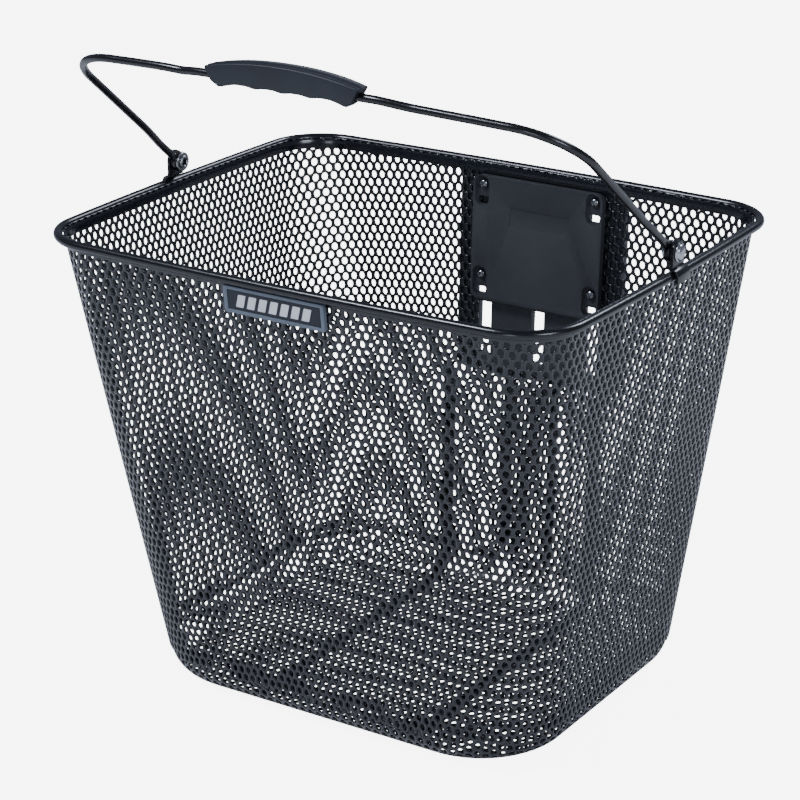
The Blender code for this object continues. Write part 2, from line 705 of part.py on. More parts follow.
def grip(frame, finish):
    """The moulded handle: a palm arch above, finger grooves below, bored for the wire."""
    stations = 28
    half = GRIP_WIDTH / 2
    round_top = 0.0035
    round_low = 0.0015
    rings = []
    for step in range(stations + 1):
        t = 2 * step / stations - 1
        top, bottom = grip_profile(t)
        squeeze = 1.0 - 0.08 * abs(t) ** 6
        wide = half * squeeze
        x = GRIP_HALF * t
        lean = 0.0040 * (1 if t > 0 else -1) * max(0.0, (abs(t) - 0.86) / 0.14)
        section = []
        for cy, cz, radius, first in ((wide, top, round_top, 0), (-wide, top, round_top, 90),
                                      (-wide, bottom, round_low, 180),
                                      (wide, bottom, round_low, 270)):
            iy = cy - math.copysign(radius, cy)
            iz = cz - radius if first < 180 else cz + radius
            for part in range(3):
                angle = math.radians(first + 45 * part)
                y = iy + radius * math.cos(angle)
                z = iz + radius * math.sin(angle)
                section.append((x - lean * (top - z) / (top - bottom), y, z))
        rings.append(section)
    count = len(rings[0])
    points = [point for ring in rings for point in ring]
    faces = []
    for level in range(stations):
        for i in range(count):
            j = (i + 1) % count
            faces.append((level * count + i, level * count + j,
                          (level + 1) * count + j, (level + 1) * count + i))
    faces.append([i for i in reversed(range(count))])
    faces.append([stations * count + i for i in range(count)])
    mesh = bpy.data.meshes.new("grip")
    mesh.from_pydata(points, [], faces)
    bm = bmesh.new()
    bm.from_mesh(mesh)
    bmesh.ops.recalc_face_normals(bm, faces=bm.faces)
    obj = add("grip", to_mesh(bm, "grip"), finish, frame, smooth=True)
    bore = add("grip_bore", drum("grip_bore", GRIP_BORE, 0.130, (0.0, 0.0, 0.0), "X", 14),
               None, frame, CUTTERS)
    boolean(obj, cutter(bore))
    return obj


def handle(steel, plastic, bright, black):
    """Brackets, rivets, washers, wire and grip."""
    for side, name in ((-1, "left"), (1, "right")):
        frame = pivot_frame(side)
        pivot_bracket("pivot_bracket_" + name, frame, steel)
        pivot_rivet("pivot_rivet_" + name, frame, bright)
        washer("outer_washer_" + name, frame, WASHER_OUT, OUTER_WASHER, black)
        washer("inner_washer_" + name, frame, WASHER_IN, INNER_WASHER, bright)
    bail = bpy.data.objects.new("bail_axis", None)
    bpy.data.collections[COLLECTION].objects.link(bail)
    bail.location = (0.0, 0.0, RIM_Z + PIVOT_RISE)
    bail.rotation_euler = (LEAN, 0.0, 0.0)
    bail_wire(bail, steel)
    turn = bpy.data.objects.new("grip_axis", None)
    bpy.data.collections[COLLECTION].objects.link(turn)
    turn.parent = bail
    turn.location = (0.0, 0.0, BAIL_HEIGHT)
    turn.rotation_euler = (-LEAN, 0.0, 0.0)
    grip(turn, plastic)


def main():
    """Build the basket."""
    start()
    coat = material("black_powder_coat", (0.020, 0.022, 0.026), 0.45)
    mesh_coat = material("black_coated_mesh", (0.024, 0.027, 0.033), 0.50)
    plastic = material("dark_moulded_plastic", (0.030, 0.034, 0.042), 0.60)
    grip_plastic = material("grip_plastic", (0.045, 0.050, 0.060), 0.55)
    badge_plastic = material("badge_plastic", (0.075, 0.095, 0.120), 0.50)
    field = material("badge_field", (0.020, 0.026, 0.034), 0.45)
    bright = material("bright_zinc_plate", (0.620, 0.620, 0.600), 0.30, 1.0)
    black = material("black_washer", (0.015, 0.015, 0.017), 0.60)
    rim_ring(coat)
    wall_mesh(mesh_coat)
    base_tray(mesh_coat)
    support_strap("support_strap_left", -STRAP_X, coat)
    support_strap("support_strap_right", STRAP_X, coat)
    frame = plate_frame()
    clamp_plate(frame, plastic)
    adapter_plate(frame, plastic)
    plate_fasteners(frame, bright, bright)
    badge(badge_plastic, field)
    handle(coat, grip_plastic, bright, black)


main()
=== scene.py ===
"""Looks of a handlebar basket: expanded steel walls, rod rim, wire bail and plates."""

import logging
import math
from dataclasses import dataclass, field
from enum import Enum
from typing import Callable, Sequence

import bpy
import numpy as np
from mathutils import Matrix, Vector


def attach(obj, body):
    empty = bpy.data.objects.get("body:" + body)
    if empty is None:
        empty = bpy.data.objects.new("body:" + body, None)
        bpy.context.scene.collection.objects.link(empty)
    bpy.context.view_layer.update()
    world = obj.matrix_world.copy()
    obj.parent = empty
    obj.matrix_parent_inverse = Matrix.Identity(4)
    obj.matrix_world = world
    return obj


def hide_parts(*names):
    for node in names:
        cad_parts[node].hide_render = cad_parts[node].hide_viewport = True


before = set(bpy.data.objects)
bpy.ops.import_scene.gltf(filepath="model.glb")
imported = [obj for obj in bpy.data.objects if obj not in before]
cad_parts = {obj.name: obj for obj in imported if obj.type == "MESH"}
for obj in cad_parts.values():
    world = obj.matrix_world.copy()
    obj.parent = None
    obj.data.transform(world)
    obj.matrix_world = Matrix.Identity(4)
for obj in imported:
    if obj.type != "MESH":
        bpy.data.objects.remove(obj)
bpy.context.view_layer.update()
GAP = 0.0003             # clearance between pieces that touch
MERGE = 0.000005         # points nearer than this are one point
CELL_MERGE = 0.00001     # the same, between neighbouring cells of the mesh
SLIVER = 0.00008         # edges shorter than this are left by a cut
LOG = logging.getLogger("basket")

Point = tuple[float, float, float]


class Body(str, Enum):
    """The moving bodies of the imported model."""

    BASKET = "basket"
    BAIL = "bail"
    GRIP = "grip_body"


# ------------------------------------------------------------------ colour and nodes


def linear(code: str) -> tuple[float, float, float, float]:
    """Turn an sRGB hex colour into linear light.

    Args:
        code: six hex digits, with or without a leading #.

    Returns:
        Red, green, blue and alpha in linear light.
    """
    values = [int(code.lstrip("#")[i:i + 2], 16) / 255 for i in (0, 2, 4)]
    curved = [v / 12.92 if v <= 0.04045 else ((v + 0.055) / 1.055) ** 2.4 for v in values]
    return (curved[0], curved[1], curved[2], 1.0)


def add_node(tree: bpy.types.NodeTree, kind: str, settings: dict | None = None,
             links: dict | None = None) -> bpy.types.Node:
    """Add a node with its settings and its incoming links.

    Args:
        tree: the material's node tree.
        kind: Blender's node type name.
        settings: attribute or input names with their values.
        links: input names with the output sockets that feed them.

    Returns:
        The new node.
    """
    node = tree.nodes.new(kind)
    for name, value in (settings or {}).items():
        if name in node.inputs:
            node.inputs[name].default_value = value
        else:
            setattr(node, name, value)
    for name, output in (links or {}).items():
        tree.links.new(output, node.inputs[name])
    return node


@dataclass(frozen=True)
class Finish:
    """One surface finish, dressed from its real grain size.

    The grain is the orange peel of a coating or the spark-eroded texture of a mould.
    The cloud is the slow change of tone that handling and coating thickness leave.
    """

    name: str
    slot: str
    colour: str
    tint: str
    roughness: float
    spread: float = 0.06
    grain_mm: float = 0.8
    grain_depth: float = 0.05
    cloud_mm: float = 30.0
    metallic: float = 0.0
    coat: float = 0.0
    coat_roughness: float = 0.2
    ior: float = 1.5
    ramp_low: float = 0.35
    ramp_high: float = 0.70

    def material(self) -> bpy.types.Material:
        """Build the finish once and hand the same one out again.

        Returns:
            The node material.
        """
        made = bpy.data.materials.get(self.name)
        if made is not None:
            return made
        made = bpy.data.materials.new(self.name)
        made.use_nodes = True
        tree = made.node_tree
        shader = tree.nodes["Principled BSDF"]
        place = add_node(tree, "ShaderNodeTexCoord").outputs["Object"]
        cloud = add_node(tree, "ShaderNodeTexNoise",
                         {"Scale": 1000.0 / self.cloud_mm, "Detail": 3.0},
                         {"Vector": place})
        grain = add_node(tree, "ShaderNodeTexNoise",
                         {"Scale": 1000.0 / self.grain_mm, "Detail": 2.0},
                         {"Vector": place})
        colours = add_node(tree, "ShaderNodeValToRGB", links={"Fac": cloud.outputs["Fac"]})
        for stop, position, code in zip(colours.color_ramp.elements,
                                        (self.ramp_low, self.ramp_high),
                                        (self.colour, self.tint)):
            stop.position = position
            stop.color = linear(code)
        rough = add_node(tree, "ShaderNodeMapRange",
                         {"To Min": self.roughness - self.spread,
                          "To Max": self.roughness + self.spread},
                         {"Value": cloud.outputs["Fac"]})
        bump = add_node(tree, "ShaderNodeBump",
                        {"Strength": self.grain_depth, "Distance": self.grain_mm / 1000.0},
                        {"Height": grain.outputs["Fac"]})
        tree.links.new(colours.outputs["Color"], shader.inputs["Base Color"])
        tree.links.new(rough.outputs["Result"], shader.inputs["Roughness"])
        tree.links.new(bump.outputs["Normal"], shader.inputs["Normal"])
        shader.inputs["Metallic"].default_value = self.metallic
        shader.inputs["Coat Weight"].default_value = self.coat
        shader.inputs["Coat Roughness"].default_value = self.coat_roughness
        if self.metallic < 0.5:
            shader.inputs["IOR"].default_value = self.ior
        return made


# Glossy black powder coat on drawn rod: long soft highlights with a faint orange peel.
ROD_COAT = Finish("black_powder_coated_rod", "coated_rod", "#07080a", "#0b0c0f", 0.26,
                  grain_mm=1.6, grain_depth=0.05, coat=0.35, coat_roughness=0.16)
# Dipped expanded steel: the coat pools on the strands, so they glint blue-grey.
MESH_COAT = Finish("dip_coated_expanded_steel", "coated_mesh", "#070a10", "#0d1119", 0.24,
                   grain_mm=1.2, grain_depth=0.08, coat=0.60, coat_roughness=0.12)
# Moulded polypropylene with a fine spark-eroded texture: even charcoal, hardly shiny.
PLATE_PLASTIC = Finish("moulded_polypropylene", "plate_plastic", "#3a3c3f", "#404245", 0.50,
                       grain_mm=0.5, grain_depth=0.12, cloud_mm=45.0)
# Softer, greyer moulding of the grip: satin sides with a brighter edge line.
GRIP_PLASTIC = Finish("satin_moulded_grip", "grip_plastic", "#1f2329", "#262b32", 0.46,
                      grain_mm=0.6, grain_depth=0.08, cloud_mm=40.0)
# Blue-grey ABS of the badge's frame: lighter than the steel, with a satin edge.
BADGE_PLASTIC = Finish("blue_grey_abs", "badge_plastic", "#66707b", "#6f7984", 0.42,
                       grain_mm=0.5, grain_depth=0.06, cloud_mm=20.0)
# The badge's sunk field: dark satin lacquer.
BADGE_FIELD = Finish("dark_lacquered_field", "badge_field", "#171c24", "#1b212a", 0.38,
                     grain_mm=0.6, grain_depth=0.04)
# White hot-stamped bars on the field.
BADGE_BARS = Finish("white_stamped_bars", "badge_field", "#e9ebee", "#dfe2e6", 0.40,
                    grain_mm=0.6, grain_depth=0.03, cloud_mm=12.0)
# Bright zinc plate on pressed steel: silver with small dull patches.
ZINC = Finish("bright_zinc_plate", "bright_zinc", "#c9cacb", "#b4b6b8", 0.24, spread=0.05,
              grain_mm=1.5, grain_depth=0.02, cloud_mm=4.0, metallic=1.0)
# Chromated steel of the plate screws: mid-grey metal that shows as small glints.
BLACK_ZINC = Finish("black_chromated_steel", "bright_zinc", "#a2a3a4", "#b3b4b5", 0.20,
                    spread=0.06, grain_mm=0.8, grain_depth=0.05, cloud_mm=2.0, metallic=1.0)
# Black polyamide washer: dull and even.
NYLON = Finish("black_polyamide", "washer_plastic", "#111214", "#16181a", 0.50,
               grain_mm=0.5, grain_depth=0.05)


# ------------------------------------------------------------------ modelling by hand


def clear_selection() -> None:
    """Deselect everything, since operators act on all that is selected."""
    if bpy.context.object is not None and bpy.context.object.mode != "OBJECT":
        bpy.ops.object.mode_set(mode="OBJECT")
    bpy.ops.object.select_all(action="DESELECT")


def primitive(kind: str, name: str, **settings: object) -> bpy.types.Object:
    """Add a primitive at its size and place.

    Args:
        kind: the operator's name between primitive_ and _add.
        name: the new object's name.
        **settings: the operator's settings.

    Returns:
        The new object, active and selected alone.
    """
    clear_selection()
    getattr(bpy.ops.mesh, f"primitive_{kind}_add")(**settings)
    made = bpy.context.object
    made.name = name
    return made


def activate(obj: bpy.types.Object) -> None:
    """Select one object alone and make it active.

    Args:
        obj: the object.
    """
    clear_selection()
    bpy.context.view_layer.objects.active = obj
    obj.select_set(True)


def weld() -> None:
    """Merge the points of the mesh in edit mode that lie on each other."""
    bpy.ops.mesh.remove_doubles(threshold=MERGE)


def face_out() -> None:
    """Turn the faces of the mesh in edit mode outwards."""
    bpy.ops.mesh.normals_make_consistent(inside=False)


def edit(obj: bpy.types.Object, *steps: Callable[[], object]) -> None:
    """Run edit-mode operators on all of an object's mesh.

    Args:
        obj: the object to edit.
        *steps: calls that each run one operator.
    """
    activate(obj)
    bpy.ops.object.mode_set(mode="EDIT")
    bpy.ops.mesh.select_all(action="SELECT")
    for step in steps:
        step()
    bpy.ops.object.mode_set(mode="OBJECT")


def modify(obj: bpy.types.Object, kind: str, **settings: object) -> None:
    """Add a modifier and apply it.

    Args:
        obj: the object to change.
        kind: the modifier's type.
        **settings: its settings.
    """
    step = obj.modifiers.new(kind.lower(), kind)
    for name, value in settings.items():
        setattr(step, name, value)
    activate(obj)
    bpy.ops.object.modifier_apply(modifier=step.name)


def combine(obj: bpy.types.Object, other: bpy.types.Object, operation: str) -> None:
    """Join or cut with another solid, which is then removed.

    Args:
        obj: the object that stays.
        other: the tool.
        operation: UNION or DIFFERENCE.
    """
    modify(obj, "BOOLEAN", operation=operation, object=other, solver="EXACT")
    bpy.data.objects.remove(other, do_unlink=True)


def soften(obj: bpy.types.Object, width: float, segments: int = 2,
           angle: float = 32.0) -> None:
    """Round the sharp edges and shade the rest smooth."""
    modify(obj, "BEVEL", width=width, segments=segments, limit_method="ANGLE",
           angle_limit=math.radians(angle), harden_normals=False)
    smooth(obj)


def smooth(obj: bpy.types.Object, angle: float = 38.0) -> None:
    """Shade smooth up to an angle."""
    activate(obj)
    bpy.ops.object.shade_smooth_by_angle(angle=math.radians(angle))


def put(name: str, data: bpy.types.ID | None) -> bpy.types.Object:
    """Put an object with this data into the scene.

    Args:
        name: the object's name.
        data: its mesh, light or camera.

    Returns:
        The new object.
    """
    obj = bpy.data.objects.new(name, data)
    bpy.context.scene.collection.objects.link(obj)
    return obj


def quads(rows: int, across: int, loop: bool = True) -> list[tuple[int, ...]]:
    """Faces between neighbouring rows of points.

    Args:
        rows: the number of rows.
        across: the number of points in a row.
        loop: whether a row's last point joins its first.

    Returns:
        The faces as point numbers.
    """
    return [(i * across + k, i * across + (k + 1) % across,
             (i + 1) * across + (k + 1) % across, (i + 1) * across + k)
            for i in range(rows - 1) for k in range(across if loop else across - 1)]


def from_points(name: str, points: np.ndarray, faces: Sequence[Sequence[int]]
                ) -> bpy.types.Object:
    """Make an object from points and faces.

    Args:
        name: the object's name.
        points: an (n, 3) array in metres.
        faces: lists of point numbers.

    Returns:
        The new object.
    """
    mesh = bpy.data.meshes.new(name)
    mesh.from_pydata([tuple(p) for p in points], [], [tuple(f) for f in faces])
    return put(name, mesh)


def copy_of(node: str, name: str) -> bpy.types.Object:
    """Copy a CAD node with its triangles merged into one surface.

    Args:
        node: the CAD node's name.
        name: the new piece's name.

    Returns:
        The merged copy.
    """
    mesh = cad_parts[node].data.copy()
    mesh.materials.clear()
    obj = put(name, mesh)
    edit(obj, weld,
         lambda: bpy.ops.mesh.dissolve_limited(angle_limit=math.radians(0.5)),
         face_out)
    stored = mesh.attributes.get("custom_normal")
    if stored is not None:
        mesh.attributes.remove(stored)
    return obj


def slab(name: str, size: tuple[float, float, float], radius: float, place: Matrix,
         arc: int = 8) -> bpy.types.Object:
    """Make a flat block with rounded corners, lying across its Y axis.

    Args:
        name: the object's name.
        size: its width, thickness and height.
        radius: the radius of its four corners.
        place: where it goes.
        arc: the number of steps in a corner.

    Returns:
        The block.
    """
    wide, thick, tall = (value / 2 for value in size)
    ring = []
    for sx, sz, first in ((1, 1, 0), (-1, 1, 90), (-1, -1, 180), (1, -1, 270)):
        for step in range(arc + 1):
            angle = math.radians(first + 90 * step / arc)
            ring.append((sx * (wide - radius) + radius * math.cos(angle),
                         sz * (tall - radius) + radius * math.sin(angle)))
    count = len(ring)
    points = [(x, y, z) for y in (-thick, thick) for x, z in ring]
    faces = quads(2, count)
    faces += [tuple(range(count)), tuple(range(count, 2 * count))[::-1]]
    obj = from_points(name, np.array(points), faces)
    edit(obj, weld, face_out)
    obj.data.transform(place)
    return obj


def sweep(name: str, path: np.ndarray, side: np.ndarray, wide: np.ndarray,
          deep: np.ndarray, sections: int, closed: bool) -> bpy.types.Object:
    """Sweep an ellipse along a flat path.

    Args:
        name: the object's name.
        path: an (n, 3) array of the path's points.
        side: the unit normal of the plane that the path lies in.
        wide: the ellipse's half size in the path's plane, one per point.
        deep: its half size along the plane's normal, one per point.
        sections: the number of sides of the section.
        closed: whether the path runs back to its start.

    Returns:
        The swept object.
    """
    if closed:
        ahead = np.roll(path, -1, 0) - np.roll(path, 1, 0)
    else:
        ahead = np.gradient(path, axis=0)
    ahead /= np.linalg.norm(ahead, axis=1)[:, None]
    across = np.cross(ahead, side)
    turn = np.linspace(0, 2 * math.pi, sections, endpoint=False)
    points = (path[:, None] + across[:, None] * (np.cos(turn)[None, :, None]
                                                 * wide[:, None, None])
              + side[None, None] * (np.sin(turn)[None, :, None] * deep[:, None, None]))
    count = len(path)
    total = count * sections
    if closed:
        faces = [tuple(k % total for k in face) for face in quads(count + 1, sections)]
    else:
        faces = quads(count, sections)
        faces += [tuple(range(sections))[::-1], tuple(range(total - sections, total))]
    obj = from_points(name, points.reshape(-1, 3), faces)
    edit(obj, face_out)
    return obj


def turned(name: str, profile: Sequence[tuple[float, float]], steps: int,
           place: Matrix) -> bpy.types.Object:
    """Spin a closed (radius, height) profile round its own axis and set it in place.

    Args:
        name: the object's name.
        profile: the outline, round by round.
        steps: the number of sides.
        place: takes the profile's Z axis to the real one.

    Returns:
        The turned object.
    """
    mesh = bpy.data.meshes.new(name)
    open_ended = profile[0][0] == 0.0 and profile[-1][0] == 0.0
    edges = [(i, i + 1) for i in range(len(profile) - 1)]
    if not open_ended:
        edges.append((len(profile) - 1, 0))
    mesh.from_pydata([(r, 0.0, h) for r, h in profile], edges, [])
    obj = put(name, mesh)
    edit(obj,
         lambda: bpy.ops.mesh.spin(steps=steps, angle=2 * math.pi, center=(0, 0, 0),
                                   axis=(0, 0, 1)),
         lambda: bpy.ops.mesh.select_all(action="SELECT"), weld, face_out)
    mesh.transform(place)
    smooth(obj)
    return obj


def finish_piece(obj: bpy.types.Object, look: Finish, body: Body,
                 *nodes: str) -> bpy.types.Object:
    """Dress a finished piece, set it on its body and hide the CAD nodes that it replaces.

    Args:
        obj: the piece, with its place in its mesh.
        look: its finish.
        body: the body that it moves with.
        *nodes: the CAD nodes that it replaces.

    Returns:
        The same piece.
    """
    activate(obj)
    bpy.ops.object.transform_apply(location=True, rotation=True, scale=True)
    obj.data.materials.clear()
    obj.data.materials.append(look.material())
    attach(obj, body.value)
    if nodes:
        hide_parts(*nodes)
    LOG.info("%s: %d faces", obj.name, len(obj.data.polygons))
    return obj


# ------------------------------------------------------------------ the basket's outline


@dataclass(frozen=True)
class Outline:
    """The tapering rounded outline of the walls' outer face."""

    rim_z: float = 0.290
    base_z: float = 0.0023
    top_half_x: float = 0.1692
    top_half_y: float = 0.1362
    base_half_x: float = 0.1378
    base_front: float = 0.1060
    base_back: float = 0.1290
    top_corner: float = 0.0300
    base_corner: float = 0.0620
    bow_x: float = 0.0036
    bow_y: float = 0.0042

    def sizes(self, z: np.ndarray, inset: float) -> tuple[np.ndarray, ...]:
        """Half width, front, back, corner and bows at a height.

        Args:
            z: heights in metres.
            inset: distance inside the walls' outer face.

        Returns:
            Six arrays in metres.
        """
        t = (self.rim_z - z) / (self.rim_z - self.base_z)
        return (self.top_half_x + (self.base_half_x - self.top_half_x) * t - inset,
                self.top_half_y + (self.base_front - self.top_half_y) * t - inset,
                self.top_half_y + (self.base_back - self.top_half_y) * t - inset,
                self.top_corner + (self.base_corner - self.top_corner) * t - inset,
                self.bow_x * (1 - t), self.bow_y * (1 - t))

    def place(self, share: np.ndarray, z: np.ndarray, inset: float
              ) -> tuple[np.ndarray, np.ndarray]:
        """X and Y of points on the wall.

        Args:
            share: how far round the point is, 0 to 1 from the front's middle by the right.
            z: its height.
            inset: distance inside the outer face.

        Returns:
            The points' X and Y.
        """
        half_x, front, back, corner, bow_x, bow_y = self.sizes(z, inset)
        share = np.mod(share, 1.0)
        hand = np.where(share > 0.5, -1.0, 1.0)
        flat, arc = half_x - corner, corner * math.pi / 2
        side = front + back - 2 * corner
        s = np.minimum(share, 1 - share) * 2 * (2 * flat + 2 * arc + side)
        turn_a = np.clip((s - flat) / corner, 0, math.pi / 2)
        turn_b = np.clip((s - flat - arc - side) / corner, 0, math.pi / 2)
        where = [s < flat, s < flat + arc, s < flat + arc + side,
                 s < flat + 2 * arc + side]
        x = np.select(where, [s, flat + corner * np.sin(turn_a), half_x,
                              flat + corner * np.cos(turn_b)],
                      flat - (s - flat - 2 * arc - side))
        y = np.select(where, [-front, corner - front - corner * np.cos(turn_a),
                              corner - front + s - flat - arc,
                              back - corner + corner * np.sin(turn_b)], back)
        middle, half_y = (back - front) / 2, (back + front) / 2
        edge_x = np.minimum(np.abs(x) / half_x, 1.0) ** 3
        edge_y = np.minimum(np.abs(y - middle) / half_y, 1.0) ** 3
        out_x = bow_x * (1 - ((y - middle) / half_y) ** 2) * edge_x
        out_y = bow_y * (1 - (x / half_x) ** 2) * edge_y
        return (x + out_x) * hand, y + np.sign(y - middle) * out_y

    def back_y(self, x: float, z: float) -> float:
        """Y of the back wall's outer face."""
        half_x, _, back, _, _, bow = self.sizes(np.array(z), 0.0)
        return float(back + bow * (1 - (x / half_x) ** 2))

    def front_y(self, x: float, z: float) -> float:
        """Y of the front wall's outer face."""
        half_x, front, _, _, _, bow = self.sizes(np.array(z), 0.0)
        return -float(front + bow * (1 - (x / half_x) ** 2))


# ------------------------------------------------------------------ expanded steel


@dataclass
class ExpandedSteel:
    """A flat sheet of staggered upright oval holes, one cell copied over."""

    pitch: float = 0.0059
    row: float = 0.00527
    hole_half_width: float = 0.00192
    hole_half_height: float = 0.00246
    thickness: float = 0.0012
    corners: int = 12

    def cell(self, name: str) -> bpy.types.Object:
        """Model one cell: a hexagon of the sheet round one hole.

        Args:
            name: the object's name.

        Returns:
            The cell, centred on the origin in the XY plane.
        """
        obj = primitive("circle", name, vertices=self.corners, radius=1.0,
                        fill_type="NGON")
        edit(obj, lambda: bpy.ops.mesh.inset(thickness=0.3, depth=0.0),
             lambda: bpy.ops.mesh.delete(type="FACE"))
        half, row = self.pitch / 2, self.row
        peak = (row ** 2 + half ** 2) / (2 * row)
        shoulder = (row ** 2 - half ** 2) / (2 * row)
        outer = [(half, 0.0), (half, shoulder), (half / 2, (peak + shoulder) / 2),
                 (0.0, peak)]
        spacing = 360.0 / self.corners
        for vertex in obj.data.vertices:
            angle = math.degrees(math.atan2(vertex.co.y, vertex.co.x))
            step = round(abs(abs(angle) - 90.0) / spacing)
            if vertex.co.length > 0.9:
                x, y = outer[3 - step]
            else:
                turn = math.radians(90.0 - spacing * step)
                x = self.hole_half_width * math.cos(turn)
                y = self.hole_half_height * math.sin(turn)
            vertex.co = (math.copysign(x, vertex.co.x) if x > 1e-9 else 0.0,
                         math.copysign(y, vertex.co.y) if y > 1e-9 else 0.0, 0.0)
        return obj

    def flat(self, name: str, first: int, columns: int, low: int, pairs: int,
             keep: Callable[[np.ndarray, np.ndarray], np.ndarray]) -> bpy.types.Object:
        """Copy the cell over a range of columns and rows and drop what isn't wanted.

        Args:
            name: the object's name.
            first: the first column's number.
            columns: the number of columns.
            low: the lowest row's number, even.
            pairs: the number of row pairs.
            keep: takes the cells' centres and says which stay.

        Returns:
            The flat sheet, without thickness.
        """
        obj = self.cell(name)
        for count, offset in ((2, (self.pitch / 2, self.row, 0.0)),
                              (columns, (self.pitch, 0.0, 0.0)),
                              (pairs, (0.0, 2 * self.row, 0.0))):
            modify(obj, "ARRAY", count=count, use_relative_offset=False,
                   use_constant_offset=True, constant_offset_displace=offset)
        mesh = obj.data
        mesh.transform(Matrix.Translation((first * self.pitch, low * self.row, 0.0)))
        points = read_points(mesh).reshape(-1, 2 * self.corners, 3)
        centres = points.mean(axis=1)
        drop = ~keep(centres[:, 0], centres[:, 1])
        flags = np.repeat(drop, 2 * self.corners)
        mesh.vertices.foreach_set("select", flags)
        mesh.edges.foreach_set("select", np.zeros(len(mesh.edges), bool))
        mesh.polygons.foreach_set("select", np.zeros(len(mesh.polygons), bool))
        activate(obj)
        bpy.ops.object.mode_set(mode="EDIT")
        bpy.ops.mesh.select_mode(type="VERT")
        bpy.ops.object.mode_set(mode="OBJECT")
        mesh.vertices.foreach_set("select", flags)
        bpy.ops.object.mode_set(mode="EDIT")
        bpy.ops.mesh.delete(type="VERT")
        bpy.ops.mesh.select_all(action="SELECT")
        bpy.ops.mesh.remove_doubles(threshold=CELL_MERGE)
        bpy.ops.object.mode_set(mode="OBJECT")
        return obj

    def thicken(self, obj: bpy.types.Object) -> None:
        """Give the sheet its thickness inwards and the strands their round look."""
        modify(obj, "SOLIDIFY", thickness=self.thickness, offset=-1.0,
               use_even_offset=False)
        activate(obj)
        bpy.ops.object.shade_smooth()


def read_points(mesh: bpy.types.Mesh) -> np.ndarray:
    """Read a mesh's points.

    Args:
        mesh: the mesh.

    Returns:
        An (n, 3) array.
    """
    values = np.zeros(len(mesh.vertices) * 3)
    mesh.vertices.foreach_get("co", values)
    return values.reshape(-1, 3)


def write_points(mesh: bpy.types.Mesh, points: np.ndarray) -> None:
    """Write a mesh's points."""
    mesh.vertices.foreach_set("co", points.ravel())
    mesh.update()


def trim(obj: bpy.types.Object, height: float, keep_below: bool) -> None:
    """Cut a sheet at a height.

    Args:
        obj: the sheet.
        height: the cutting plane's height.
        keep_below: whether the lower part stays.
    """
    edit(obj, lambda: bpy.ops.mesh.bisect(plane_co=(0, 0, height), plane_no=(0, 0, 1),
                                          clear_outer=keep_below,
                                          clear_inner=not keep_below))
    edit(obj, lambda: bpy.ops.mesh.remove_doubles(threshold=SLIVER))


